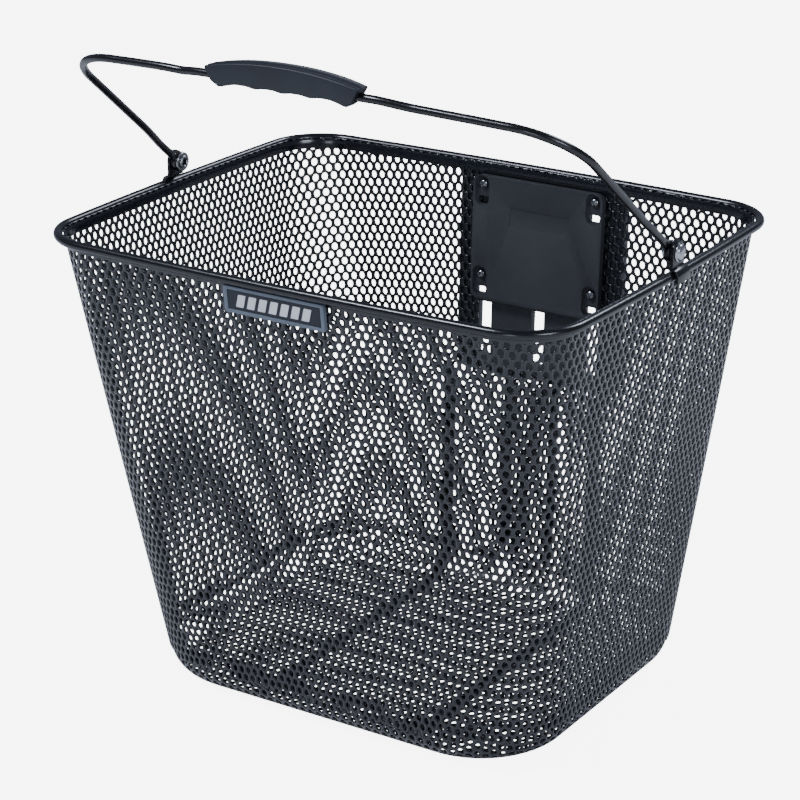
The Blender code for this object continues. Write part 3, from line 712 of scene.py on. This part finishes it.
@dataclass
class Walls:
    """The perforated walls, one sheet bent round and joined at the back's middle."""

    outline: Outline
    steel: ExpandedSteel = field(default_factory=ExpandedSteel)
    columns: int = 188
    top: float = 0.2910
    low: float = 0.0190
    row_zero: float = 0.2778
    arch: float = 0.0157
    opening_x: float = 0.0095
    opening_z: float = 0.2175
    opening_half_width: float = 0.0455
    opening_half_height: float = 0.0650
    seam_low_x: float = -0.0090
    seam_high_x: float = 0.0250
    seam_top: float = 0.1480
    seam_low_z: float = 0.0300
    hem: float = 0.0065
    low_row: int = -50
    row_pairs: int = 29
    stretch: int = 36
    front_columns: int = 44

    def bend(self, points: np.ndarray, inset: float) -> np.ndarray:
        """Bend flat points round the basket; the rows arch up in the long walls.

        Args:
            points: flat points, X round the basket and Y up.
            inset: distance inside the outer face.

        Returns:
            Points in the row frame.
        """
        share = points[:, 0] / (self.columns * self.steel.pitch)
        guess = np.full(len(points), 0.2)
        x, _ = self.outline.place(share, guess, inset)
        reach = x / self.outline.sizes(guess, inset)[0]
        z = self.row_zero + points[:, 1] - self.arch * np.minimum(reach ** 2, 1.0)
        x, y = self.outline.place(share, z, inset)
        return np.stack([x, y, z], axis=1)

    def keep(self, x: np.ndarray, y: np.ndarray) -> np.ndarray:
        """Say which cells lie on the wall and outside the opening behind the plates.

        Args:
            x: the cells' flat places round the basket.
            y: their flat heights.

        Returns:
            True where a cell stays.
        """
        bent = self.bend(np.stack([x, y, 0 * x], axis=1), 0.0)
        margin = self.steel.row
        on_wall = (bent[:, 2] < self.top + margin) & (bent[:, 2] > self.low - margin)
        inside = ((bent[:, 1] > 0)
                  & (np.abs(bent[:, 0] - self.opening_x) < self.opening_half_width)
                  & (np.abs(bent[:, 2] - self.opening_z) < self.opening_half_height))
        return on_wall & ~inside

    def wall(self, name: str, first: int, columns: int) -> bpy.types.Object:
        """Build one stretch of the wall.

        Args:
            name: the piece's name.
            first: its first column.
            columns: its number of columns.

        Returns:
            The dressed piece.
        """
        obj = self.steel.flat(name, first, columns, self.low_row, self.row_pairs,
                              self.keep)
        write_points(obj.data, self.bend(read_points(obj.data), 0.0))
        trim(obj, self.top, True)
        trim(obj, self.low, False)
        self.steel.thicken(obj)
        return finish_piece(obj, MESH_COAT, Body.BASKET, "wall_mesh")

    def seam(self) -> None:
        """Build the overlap at the back: a second layer and a hem along each edge."""
        inset = self.steel.thickness + GAP

        def keep(x: np.ndarray, y: np.ndarray) -> np.ndarray:
            """Say which cells lie in the overlap."""
            bent = self.bend(np.stack([x, y, 0 * x], axis=1), inset)
            return ((bent[:, 0] > self.seam_low_x) & (bent[:, 0] < self.seam_high_x)
                    & (bent[:, 2] < self.seam_top) & (bent[:, 2] > self.seam_low_z))

        middle = self.columns // 2
        obj = self.steel.flat("seam_overlap", middle - 6, 10, self.low_row,
                              self.row_pairs, keep)
        points = read_points(obj.data)
        points[:, 0] += self.steel.pitch * 0.5
        write_points(obj.data, self.bend(points, inset))
        self.steel.thicken(obj)
        finish_piece(obj, MESH_COAT, Body.BASKET, "wall_mesh")
        for side, x in (("left", self.seam_low_x), ("right", self.seam_high_x)):
            self.seam_hem(f"seam_hem_{side}", x, inset)

    def seam_hem(self, name: str, x: float, inset: float) -> None:
        """Build a folded edge of the overlap as a narrow strip.

        Args:
            name: the piece's name.
            x: the strip's middle.
            inset: its outer face inside the wall's outer face.
        """
        levels = np.linspace(self.seam_top, 0.032, 14)
        points = []
        for z in levels:
            for edge in (-0.5, 0.5):
                place = x + edge * self.hem
                points.append((place, self.outline.back_y(place, z) - inset, z))
        obj = from_points(name, np.array(points), quads(len(levels), 2, False))
        modify(obj, "SOLIDIFY", thickness=0.0014, offset=1.0)
        edit(obj, face_out)
        soften(obj, 0.0005)
        finish_piece(obj, MESH_COAT, Body.BASKET)

    def build(self) -> None:
        """Build all the stretches of the wall and the seam."""
        first = self.front_columns // 2
        self.wall("wall_front", -first, self.front_columns)
        for name in ("wall_right", "wall_back_right", "wall_back_left", "wall_left"):
            self.wall(name, first, self.stretch)
            first += self.stretch
        self.seam()


@dataclass
class Tray:
    """The perforated bottom with its rounded edge and upturned flange."""

    outline: Outline
    steel: ExpandedSteel = field(default_factory=ExpandedSteel)
    edge_z: float = 0.0190
    flange_top: float = 0.0310
    half_count: int = 28

    def draw(self, points: np.ndarray) -> np.ndarray:
        """Press the flat sheet into the tray's shape.

        Args:
            points: flat points, X across and Y back.

        Returns:
            Points in the row frame.
        """
        inset = self.steel.thickness + GAP
        radius = self.edge_z - self.outline.base_z
        at = np.array(self.edge_z)
        half_x, front, back, corner, _, _ = self.outline.sizes(at, inset + radius)
        top = self.outline.sizes(np.array(self.flange_top), inset)
        low = self.outline.sizes(at, inset)
        middle, half_y = (back - front) / 2, (back + front) / 2
        x, y = points[:, 0], points[:, 1] - middle
        dx = np.abs(x) - (half_x - corner)
        dy = np.abs(y) - (half_y - corner)
        in_corner = (dx > 0) & (dy > 0)
        length = np.hypot(dx, dy)
        far = np.where(in_corner, length, np.maximum(dx, dy)) - corner
        safe = np.where(length > 1e-9, length, 1.0)
        nx = np.where(in_corner, dx / safe, (dx >= dy).astype(float)) * np.sign(x)
        ny = np.where(in_corner, dy / safe, (dx < dy).astype(float)) * np.sign(y)
        out = np.maximum(far, 0.0)
        angle = np.minimum(out / radius, math.pi / 2)
        rise = np.maximum(out - radius * math.pi / 2, 0.0)
        shift = radius * np.sin(angle) - out
        height = self.outline.base_z + radius * (1 - np.cos(angle)) + rise
        part = np.clip(rise / (self.flange_top - self.edge_z), 0, 1.5)
        grow_x = part * (top[0] - low[0])
        grow_y = part * np.where(y > 0, top[2] - low[2], top[1] - low[1])
        return np.stack([x + nx * (shift + grow_x), y + middle + ny * (shift + grow_y),
                         height], axis=1)

    def build(self) -> None:
        """Build the tray in a left and a right half."""
        half = self.half_count
        for name, first in (("bottom_left", -half), ("bottom_right", 0)):
            obj = self.steel.flat(
                name, first, half, -half, half,
                lambda x, y: self.draw(np.stack([x, y, 0 * x], axis=1))[:, 2]
                < self.flange_top + self.steel.row)
            write_points(obj.data, self.draw(read_points(obj.data)))
            trim(obj, self.flange_top, True)
            edit(obj, lambda: bpy.ops.mesh.flip_normals())
            self.steel.thicken(obj)
            finish_piece(obj, MESH_COAT, Body.BASKET, "bottom_mesh")


# ------------------------------------------------------------------ rim and straps


@dataclass
class Rim:
    """The rod hoop round the top."""

    outline: Outline
    width: float = 0.350
    depth: float = 0.284
    radius: float = 0.00275
    corner: float = 0.0327
    strap_end: float = -0.0870
    steps: int = 240

    def path(self) -> np.ndarray:
        """Lay out the rod's centre line.

        Returns:
            An (n, 3) array.
        """
        hoop = Outline(top_half_x=self.width / 2 - self.radius,
                       top_half_y=self.depth / 2 - self.radius,
                       top_corner=self.corner)
        share = np.arange(self.steps) / self.steps
        z = np.full(self.steps, self.outline.rim_z)
        x, y = hoop.place(share, z, 0.0)
        return np.stack([x, y, z], axis=1)

    def hem(self) -> None:
        """Build the closed edge of the mesh that is pressed against the rod."""
        levels = (0.2838, 0.2868, 0.2898)
        share = np.arange(self.steps) / self.steps
        rows = []
        for z in levels:
            height = np.full(self.steps, z)
            x, y = self.outline.place(share, height, -0.0002)
            rows.append(np.stack([x, y, height], axis=1))
        band = from_points("rim_hem", np.concatenate(rows), quads(len(levels), self.steps))
        edit(band, face_out)
        modify(band, "SOLIDIFY", thickness=0.0016, offset=-1.0)
        soften(band, 0.0004)
        finish_piece(band, MESH_COAT, Body.BASKET)

    def build(self) -> None:
        """Build the rod, the hem under it and the straps."""
        path = self.path()
        even = np.full(len(path), self.radius)
        rod = sweep("rim_rod", path, np.array([0.0, 0.0, 1.0]), even, even, 20, True)
        smooth(rod, 60.0)
        finish_piece(rod, ROD_COAT, Body.BASKET, "rim_ring")
        self.hem()
        for node in ("support_strap_left", "support_strap_right"):
            strap = copy_of(node, node + "_coated")
            edit(strap, lambda: bpy.ops.mesh.bisect(plane_co=(0, self.strap_end, 0),
                                                    plane_no=(0, 1, 0), use_fill=True,
                                                    clear_inner=True))
            soften(strap, 0.0004)
            finish_piece(strap, ROD_COAT, Body.BASKET, node)


# ------------------------------------------------------------------ plates


@dataclass
class Plates:
    """The clamp plate inside, the adapter plate behind, and what holds them together."""

    outline: Outline
    x: float = 0.0095
    z: float = 0.2180
    clamp_face: float = -0.0069
    clamp_back: float = -0.0019
    clamp_width: float = 0.0940
    clamp_height: float = 0.0825
    pocket_floor: float = -0.0039
    port_drop: float = 0.0067
    head_seat: float = -0.0042
    adapter_back: float = 0.0058
    clamp_z: float = 0.0243
    slot_x: float = 0.0405
    slot_upper: float = 0.0310
    slot_lower: float = -0.0293
    screw_rise: float = 0.0042
    tablet_x: float = 0.0020
    tablet_z: float = 0.0408
    tablet_width: float = 0.0430
    tablet_height: float = 0.0125
    pocket: Point = (0.0104, 0.0080, 0.0202)
    port: Point = (0.0080, 0.0200, 0.0052)
    hole: Point = (0.0042, 0.0200, 0.0042)

    def place(self) -> Matrix:
        """Find the plates' own frame: Y outwards through the wall, Z up along it.

        Returns:
            The frame's matrix.
        """
        low, high = (self.outline.back_y(self.x, z) for z in (0.150, 0.280))
        tilt = -math.atan2(high - low, 0.130)
        return (Matrix.Translation((self.x, self.outline.back_y(self.x, self.z), self.z))
                @ Matrix.Rotation(tilt, 4, "X"))

    def build(self) -> None:
        """Build the plates, screws and nuts."""
        at = self.place()
        self.clamp(at)
        adapter = copy_of("adapter_plate", "adapter_plate_moulding")
        soften(adapter, 0.0005)
        finish_piece(adapter, PLATE_PLASTIC, Body.BASKET, "adapter_plate")
        for row, height in (("upper", self.slot_upper), ("lower", self.slot_lower)):
            for side, x in (("left", -self.slot_x), ("right", self.slot_x)):
                spot = (x, 0.0, self.clamp_z + height + self.screw_rise)
                self.screw(f"plate_screw_{row}_{side}", at @ Matrix.Translation(spot))
                nut = copy_of(f"plate_nut_{row}_{side}", f"plate_nut_{row}_{side}_zinc")
                soften(nut, 0.0003)
                finish_piece(nut, ZINC, Body.BASKET, f"plate_nut_{row}_{side}")

    def clamp(self, at: Matrix) -> None:
        """Build the clamp plate: four long pockets with a screw and a port, a sunk tablet.

        Args:
            at: the plates' own frame.
        """
        middle = (self.clamp_face + self.clamp_back) / 2
        thick = self.clamp_back - self.clamp_face
        spot = at @ Matrix.Translation((0.0, middle, self.clamp_z))
        plate = slab("clamp_plate_moulding", (self.clamp_width, thick, self.clamp_height),
                     0.0060, spot)
        tablet = at @ Matrix.Translation((self.tablet_x, self.clamp_face, self.tablet_z))
        combine(plate, slab("tablet", (self.tablet_width, 0.0008, self.tablet_height),
                            0.0010, tablet), "DIFFERENCE")
        for height in (self.slot_upper, self.slot_lower):
            for x in (-self.slot_x, self.slot_x):
                corner = at @ Matrix.Translation((x, 0.0, self.clamp_z + height))
                pocket = corner @ Matrix.Translation((0.0, self.pocket_floor - 0.004, 0.0))
                port = corner @ Matrix.Translation((0.0, middle, -self.port_drop))
                hole = corner @ Matrix.Translation((0.0, middle, self.screw_rise))
                for tool in (slab("pocket", self.pocket, 0.0051, pocket),
                             slab("port", self.port, 0.0020, port),
                             slab("hole", self.hole, 0.00209, hole)):
                    combine(plate, tool, "DIFFERENCE")
        soften(plate, 0.0004)
        finish_piece(plate, PLATE_PLASTIC, Body.BASKET, "clamp_plate")

    def screw(self, node: str, place: Matrix) -> None:
        """Build a pan-head screw with a cross recess.

        Args:
            node: the CAD screw that it replaces.
            place: the screw's own frame, Y pointing at its tip.
        """
        tip = self.adapter_back - 0.0006
        profile = [(0.0, 0.0024), (0.0009, 0.00236), (0.0017, 0.00215), (0.0025, 0.0017),
                   (0.0030, 0.0010), (0.0031, 0.0004), (0.0031, 0.0),
                   (0.0017, 0.0), (0.0017, self.head_seat - tip + 0.0004),
                   (0.0013, self.head_seat - tip), (0.0, self.head_seat - tip)]
        seat = (place @ Matrix.Translation((0.0, self.head_seat, 0.0))
                @ Matrix.Rotation(math.pi / 2, 4, "X"))
        screw = turned(node + "_zinc", profile, 32, seat)
        for turn in (0.35, 0.35 + math.pi / 2):
            blade = primitive("cube", "blade", size=1.0)
            blade.data.transform(seat @ Matrix.Rotation(turn, 4, "Z")
                                 @ Matrix.Translation((0.0, 0.0, 0.0021))
                                 @ Matrix.Diagonal((0.0034, 0.0007, 0.0020, 1.0)))
            combine(screw, blade, "DIFFERENCE")
        smooth(screw)
        finish_piece(screw, BLACK_ZINC, Body.BASKET, node)


# ------------------------------------------------------------------ badge


@dataclass
class Badge:
    """The badge on the front wall: a frame round a sunk field with plain slanted bars."""

    outline: Outline
    z: float = 0.2785
    standoff: float = 0.0008
    thick: float = 0.0030
    bars: int = 7
    bar_width: float = 0.0050
    bar_height: float = 0.0076
    bar_pitch: float = 0.0074
    slant: float = 0.0022
    sink: float = 0.0016
    field_thick: float = 0.0008

    def build(self) -> None:
        """Build the frame, field, bars and clips."""
        body = copy_of("badge_frame", "badge_moulding")
        soften(body, 0.0005)
        finish_piece(body, BADGE_PLASTIC, Body.BASKET, "badge_frame")
        sunk = copy_of("badge_field", "badge_sunk_field")
        soften(sunk, 0.00015, 1)
        finish_piece(sunk, BADGE_FIELD, Body.BASKET, "badge_field")
        for side in ("left", "right"):
            clip = copy_of(f"badge_clip_{side}", f"badge_snap_{side}")
            soften(clip, 0.0003)
            finish_piece(clip, BADGE_PLASTIC, Body.BASKET, f"badge_clip_{side}")
        low, high = (self.outline.front_y(0.0, self.z + d) for d in (-0.01, 0.01))
        place = (Matrix.Translation((0.0, self.outline.front_y(0.0, self.z)
                                     - self.standoff, self.z))
                 @ Matrix.Rotation(math.atan2(low - high, 0.02), 4, "X"))
        face = -self.thick + self.sink - GAP - self.field_thick
        for index in range(self.bars):
            lean = Matrix.Identity(4)
            lean[0][2] = self.slant / self.bar_height
            middle = (index - (self.bars - 1) / 2) * self.bar_pitch
            spot = place @ Matrix.Translation((middle, face - 0.0001, 0.0)) @ lean
            bar = slab(f"badge_bar_{index + 1}", (self.bar_width, 0.0003,
                                                  self.bar_height), 0.0004, spot, 3)
            smooth(bar)
            finish_piece(bar, BADGE_BARS, Body.BASKET)


# ------------------------------------------------------------------ bail handle


@dataclass
class Bail:
    """Brackets, rivets, washers, wire and grip."""

    pivot_z: float = 0.3030
    lean: float = math.radians(52.5)
    wire: float = 0.0024
    height: float = 0.1613
    span: float = 0.1585
    rise_x: float = 0.0780
    drift: float = 0.054
    droop: float = 0.026
    leg_low_x: float = 0.1702
    leg_top_x: float = 0.1655
    shoulder: float = 0.0400
    rod_x: float = 0.17585
    rod_radius: float = 0.00275
    eye_radius: float = 0.0062
    eye_thick: float = 0.0030
    outer_washer: float = 0.0008
    inner_washer: float = 0.0010
    bracket_thick: float = 0.0018
    bracket_half: float = 0.0068
    bore: float = 0.0028
    rim_z: float = 0.2900
    leg_start: float = 0.0105
    grip_exit: float = 0.0560
    grip_half: float = 0.0505
    grip_top_middle: float = 0.0112
    grip_top_end: float = 0.0056

    def stack(self) -> dict[str, float]:
        """Add up the faces along the hinge axis.

        Returns:
            Each face's distance from the basket's middle.
        """
        leg_in = self.rod_x - self.bracket_thick / 2
        washer_out = leg_in - GAP
        eye_out = washer_out - self.outer_washer - GAP
        eye_in = eye_out - self.eye_thick
        washer_in = eye_in - GAP
        return {"leg_in": leg_in, "washer_out": washer_out, "eye_out": eye_out,
                "eye_in": eye_in, "washer_in": washer_in,
                "tail_out": washer_in - self.inner_washer - GAP}

    def hinge(self, side: int) -> Matrix:
        """The hinge's frame, with Z pointing out of the basket."""
        turn = Matrix.Rotation(side * math.pi / 2, 4, "Y")
        return Matrix.Translation((0.0, 0.0, self.pivot_z)) @ turn

    def bracket(self, node: str, side: int) -> None:
        """Build a sheet bracket: a round-topped leg that bends down over the rod.

        Args:
            node: the CAD bracket that it replaces.
            side: -1 on the left, 1 on the right.
        """
        half, drop = self.bracket_half, self.pivot_z - self.rim_z
        rows = [(0.0, half * math.sin(math.radians(a)), half * math.cos(math.radians(a)))
                for a in (88, 75, 60, 45, 30, 15, 0)]
        rows.append((0.0, -0.0070, half))
        bend = self.rod_radius + GAP + self.bracket_thick / 2
        for step in range(9):
            angle = math.pi / 2 * (1 - step / 8)
            rows.append((bend * math.cos(angle), bend * math.sin(angle) - drop,
                         half + 0.0008))
        rows.append((bend, -drop - 0.0035, half + 0.0008))
        points = [(side * (self.rod_x + out), y, self.pivot_z + z)
                  for out, z, wide in rows for y in (-wide, wide)]
        obj = from_points(node + "_coated", np.array(points), quads(len(rows), 2, False))
        modify(obj, "SOLIDIFY", thickness=self.bracket_thick, offset=0.0)
        edit(obj, face_out)
        soften(obj, 0.0005, 3)
        finish_piece(obj, ROD_COAT, Body.BASKET, node)

    def rivet(self, node: str, place: Matrix) -> None:
        """Build a domed rivet with a hollow rolled tail.

        Args:
            node: the CAD rivet that it replaces.
            place: the hinge's frame.
        """
        faces = self.stack()
        head = faces["leg_in"] + self.bracket_thick + GAP
        tail_out = faces["tail_out"]
        tail = tail_out - 0.0011
        profile = [(0.0, head + 0.0028)]
        for step in range(1, 11):
            angle = math.pi / 2 * step / 10
            profile.append((0.0046 * math.sin(angle), head + 0.0009
                            + 0.0019 * math.cos(angle)))
        profile += [(0.0048, head + 0.0007), (0.0053, head + 0.0006),
                    (0.0056, head + 0.0004), (0.0056, head), (0.0025, head),
                    (0.0025, tail_out), (0.0041, tail_out)]
        for step in range(0, 9):
            angle = math.pi * step / 8
            profile.append((0.0031 + 0.0010 * math.cos(angle),
                            tail + 0.0008 - 0.0010 * math.sin(angle)))
        profile += [(0.0020, tail + 0.0060), (0.0, tail + 0.0064)]
        rivet = turned(node + "_zinc", profile, 40, place)
        finish_piece(rivet, ZINC, Body.BASKET, node)

    def washer(self, node: str, place: Matrix, outer: float, thick: float,
               look: Finish) -> None:
        """Build a flat washer with broken edges.

        Args:
            node: the CAD washer that it replaces.
            place: the hinge's frame.
            outer: distance of its outer face.
            thick: its thickness.
            look: its finish.
        """
        inner, radius, edge = outer - thick, 0.0060, 0.0002
        profile = [(radius, outer - edge), (radius, inner + edge), (radius - edge, inner),
                   (self.bore, inner), (self.bore, outer), (radius - edge, outer)]
        ring = turned(node + "_ring", profile, 40, place)
        finish_piece(ring, look, Body.BASKET, node)

    def route(self) -> np.ndarray:
        """Lay out half of the wire's centre line, from its eye to its middle.

        Returns:
            Points as distance from the middle and height.
        """
        faces = self.stack()
        eye = (faces["eye_out"] + faces["eye_in"]) / 2
        top_leg = self.span - self.shoulder
        points = [(eye, h) for h in (0.0058, 0.0072, 0.0088, self.leg_start)]
        for step in range(1, 31):
            t = step / 30
            leg = self.leg_low_x + (self.leg_top_x - self.leg_low_x) * t
            near = max(0.0, 1 - t / 0.36)
            points.append((leg + (eye - leg) * near * near * (3 - 2 * near),
                           self.leg_start + (top_leg - self.leg_start) * t))
        start = points[-1][0]
        for step in range(1, 21):
            angle = math.pi / 2 * step / 20
            points.append((start - self.shoulder * (1 - math.cos(angle)),
                           top_leg - 0.0015 * (1 - math.cos(angle * 2)) / 2
                           + (self.shoulder - 0.0005) * math.sin(angle)))
        x, h = points[-1]
        for step in range(1, 9):
            t = step / 8
            points.append((x + (self.rise_x - x) * t,
                           h + (self.span - h) * math.sin(math.pi / 2 * t)))
        for step in range(1, 11):
            t = step / 10
            points.append((self.rise_x + (self.grip_exit - self.rise_x) * t,
                           self.span + (self.height - self.span)
                           * (1 - math.cos(math.pi * t)) / 2))
        return np.array(points)

    def skewed(self, run: np.ndarray) -> np.ndarray:
        """Push the springy wire a little to one side between its eyes and its grip.

        Args:
            run: the wire's points, X and height.

        Returns:
            The same points, moved most at the shoulders.
        """
        low = np.clip((run[:, 1] - 0.010) / 0.030, 0, 1)
        near = np.clip((np.abs(run[:, 0]) - self.grip_exit) / 0.040, 0, 1)
        share = low * low * (3 - 2 * low) * near * near * (3 - 2 * near)
        return np.stack([run[:, 0] + self.drift * share * run[:, 1],
                         run[:, 1] - self.droop * share * run[:, 0]], axis=1)

    def bail_wire(self) -> None:
        """Build the bent wire with its flattened eyes."""
        half = self.route()
        run = self.skewed(np.concatenate([half * (-1, 1), half[::-1]]))
        reach = np.clip((run[:, 1] - 0.0065) / 0.0085, 0, 1)
        wide = 0.00135 + (self.wire - 0.00135) * reach
        deep = 0.0030 + (self.wire - 0.0030) * reach
        path = np.stack([run[:, 0], 0 * run[:, 0], run[:, 1]], axis=1)
        obj = sweep("bail_wire_coated", path, np.array([0.0, 1.0, 0.0]), wide, deep, 20,
                    False)
        faces = self.stack()
        middle = (faces["eye_out"] + faces["eye_in"]) / 2
        for side in (-1, 1):
            for radius, depth, operation in ((self.eye_radius, self.eye_thick, "UNION"),
                                             (self.bore, 0.008, "DIFFERENCE")):
                tool = primitive("cylinder", "eye", vertices=48, radius=radius,
                                 depth=depth, location=(side * middle, 0, 0),
                                 rotation=(0, math.pi / 2, 0))
                bpy.ops.object.transform_apply(location=True, rotation=True, scale=True)
                if operation == "UNION":
                    modify(tool, "BEVEL", width=0.0006, segments=3,
                           limit_method="ANGLE", angle_limit=math.radians(60))
                combine(obj, tool, operation)
        obj.data.transform(Matrix.Translation((0, 0, self.pivot_z))
                           @ Matrix.Rotation(self.lean, 4, "X"))
        smooth(obj, 50.0)
        finish_piece(obj, ROD_COAT, Body.BAIL, "bail_wire")

    def grip_section(self, t: float) -> list[tuple[float, float]]:
        """Outline of the grip at a place along it.

        Args:
            t: -1 at the left end to 1 at the right.

        Returns:
            Points (Y, Z) about the wire, anticlockwise seen from +X.
        """
        top = self.grip_top_middle + (self.grip_top_end
                                      - self.grip_top_middle) * abs(t) ** 2.2
        wave = abs(math.cos(2 * math.pi * (t / 0.72 + 1)))
        low = -0.0033 - 0.0008 * wave ** 4
        lip = min(max((abs(t) - 0.68) / 0.14, 0.0), 1.0)
        low += (-0.0056 - low) * lip * lip * (3 - 2 * lip)
        low += 0.0024 * max(0.0, (abs(t) - 0.84) / 0.16)
        half = 0.0060 * (1.0 - 0.10 * abs(t) ** 8)
        base = 0.0042 + 0.0010 * abs(t) ** 4
        points: list[tuple[float, float]] = []
        for cy, cz, radius, first in ((half, top, 0.0013, 0.0), (-half, top, 0.0013, 90.0),
                                      (-base, low, 0.0016, 180.0),
                                      (base, low, 0.0016, 270.0)):
            iy = cy - math.copysign(radius, cy)
            iz = cz - radius if first < 180.0 else cz + radius
            for step in range(5):
                angle = math.radians(first + 22.5 * step)
                points.append((iy + radius * math.cos(angle),
                               iz + radius * math.sin(angle)))
            if first == 0.0:
                for y, sink in ((0.0038, 0.0), (0.0032, 0.0007), (0.0024, 0.0007),
                                (0.0017, 0.0), (0.0, -0.0002), (-0.0017, 0.0),
                                (-0.0024, 0.0007), (-0.0032, 0.0007), (-0.0038, 0.0)):
                    points.append((y, top - sink))
        return points

    def grip(self) -> None:
        """Build the grip: palm arch above, finger scallops below, bored for the wire."""
        stations = 96
        rings = []
        for step in range(stations + 1):
            t = 2 * step / stations - 1
            section = self.grip_section(t)
            top = max(z for _, z in section)
            low = min(z for _, z in section)
            lean = 0.0048 * math.copysign(max(0.0, (abs(t) - 0.84) / 0.16), t)
            rings.append([(self.grip_half * t - lean * ((top - z) / (top - low)) ** 1.5,
                           y, z) for y, z in section])
        count = len(rings[0])
        total = len(rings) * count
        faces = quads(len(rings), count)
        faces += [tuple(range(count))[::-1], tuple(range(total - count, total))]
        obj = from_points("grip_moulding", np.array(rings).reshape(-1, 3), faces)
        edit(obj, face_out)
        modify(obj, "BEVEL", width=0.0008, segments=3, limit_method="ANGLE",
               angle_limit=math.radians(55))
        bore = primitive("cylinder", "grip_bore", vertices=28, radius=0.0028, depth=0.13,
                         rotation=(0, math.pi / 2, 0))
        bpy.ops.object.transform_apply(location=True, rotation=True, scale=True)
        combine(obj, bore, "DIFFERENCE")
        centre = (0.0, -self.height * math.sin(self.lean),
                  self.pivot_z + self.height * math.cos(self.lean))
        obj.data.transform(Matrix.Translation(centre))
        smooth(obj, 40.0)
        finish_piece(obj, GRIP_PLASTIC, Body.GRIP, "grip")

    def build(self) -> None:
        """Build the whole handle."""
        faces = self.stack()
        for side, name in ((-1, "left"), (1, "right")):
            place = self.hinge(side)
            self.bracket(f"pivot_bracket_{name}", side)
            self.rivet(f"pivot_rivet_{name}", place)
            self.washer(f"outer_washer_{name}", place, faces["washer_out"],
                        self.outer_washer, NYLON)
            self.washer(f"inner_washer_{name}", place, faces["washer_in"],
                        self.inner_washer, ZINC)
        self.bail_wire()
        self.grip()


# ------------------------------------------------------------------ studio


@dataclass
class Studio:
    """A plain pale floor, soft light and the camera."""

    eye: Point = (0.7976, -1.2548, 0.7436)
    target: Point = (0.0399, -0.0750, 0.2106)
    lens: float = 117.48
    sensor: float = 36.0
    lamp_target: Point = (0.0, 0.0, 0.2)
    paper_glow: float = 7.0
    room: float = 0.22

    def aim(self, obj: bpy.types.Object, place: Point, target: Point) -> None:
        """Stand a lamp or camera at a place and point it at a target.

        Args:
            obj: the lamp or camera.
            place: where it stands.
            target: the point that it looks at.
        """
        obj.location = place
        way = Vector(target) - Vector(place)
        obj.rotation_euler = way.to_track_quat("-Z", "Y").to_euler()

    def floor(self) -> None:
        """Lay the floor."""
        floor = primitive("plane", "studio_floor", size=14.0)
        made = bpy.data.materials.new("matt_white_paper")
        made.use_nodes = True
        tree = made.node_tree
        shader = tree.nodes["Principled BSDF"]
        place = add_node(tree, "ShaderNodeTexCoord").outputs["Object"]
        cloud = add_node(tree, "ShaderNodeTexNoise", {"Scale": 0.8}, {"Vector": place})
        tone = add_node(tree, "ShaderNodeValToRGB", links={"Fac": cloud.outputs["Fac"]})
        tone.color_ramp.elements[0].color = linear("#f6f6f6")
        tone.color_ramp.elements[1].color = linear("#fafafa")
        tree.links.new(tone.outputs["Color"], shader.inputs["Base Color"])
        shader.inputs["Roughness"].default_value = 0.9
        # The paper is lit from behind only for the eye, so the black steel stays black.
        seen = add_node(tree, "ShaderNodeLightPath").outputs["Is Camera Ray"]
        glow = add_node(tree, "ShaderNodeMath", {"operation": "MULTIPLY"})
        glow.inputs[1].default_value = self.paper_glow
        tree.links.new(seen, glow.inputs[0])
        tree.links.new(tone.outputs["Color"], shader.inputs["Emission Color"])
        tree.links.new(glow.outputs["Value"], shader.inputs["Emission Strength"])
        floor.data.materials.append(made)

    def light(self, name: str, place: Point, size: float, power: float) -> None:
        """Hang a soft square light that points at the basket.

        Args:
            name: the light's name.
            place: where it hangs.
            size: its side in metres.
            power: its power in watts.
        """
        data = bpy.data.lights.new(name, "AREA")
        data.size = size
        data.energy = power
        data.color = linear("#e6ecfb")[:3]
        self.aim(put(name, data), place, self.lamp_target)

    def build(self) -> None:
        """Set up floor, light and camera."""
        self.floor()
        world = bpy.data.worlds.new("pale_room")
        world.use_nodes = True
        back = world.node_tree.nodes["Background"]
        cool = add_node(world.node_tree, "ShaderNodeMix", {"data_type": "RGBA"})
        cool.inputs[6].default_value = linear("#d4dffc")
        cool.inputs[7].default_value = linear("#ffffff")
        world.node_tree.links.new(cool.outputs[2], back.inputs["Color"])
        seen = add_node(world.node_tree, "ShaderNodeLightPath").outputs["Is Camera Ray"]
        bright = add_node(world.node_tree, "ShaderNodeMapRange",
                          {"To Min": self.room, "To Max": self.paper_glow},
                          {"Value": seen})
        world.node_tree.links.new(bright.outputs["Result"], back.inputs["Strength"])
        world.node_tree.links.new(seen, cool.inputs[0])
        bpy.context.scene.world = world
        self.light("key_softbox", (-1.3, -1.5, 2.6), 0.6, 55.0)
        self.light("fill_softbox", (2.4, -1.0, 1.3), 1.0, 26.0)
        self.light("rear_softbox", (0.6, 2.2, 2.4), 1.0, 40.0)
        self.light("low_softbox", (0.6, -2.6, 0.5), 0.8, 8.0)
        data = bpy.data.cameras.new("camera")
        data.lens = self.lens
        data.sensor_width = self.sensor
        camera = put("camera", data)
        self.aim(camera, self.eye, self.target)
        bpy.context.scene.camera = camera


def main() -> None:
    """Build every sub-assembly in order."""
    logging.basicConfig(level=logging.INFO, format="%(message)s")
    outline = Outline()
    Studio().build()
    Walls(outline).build()
    Tray(outline).build()
    Rim(outline).build()
    Plates(outline).build()
    Badge(outline).build()
    Bail().build()


if __name__ == "__main__":
    main()
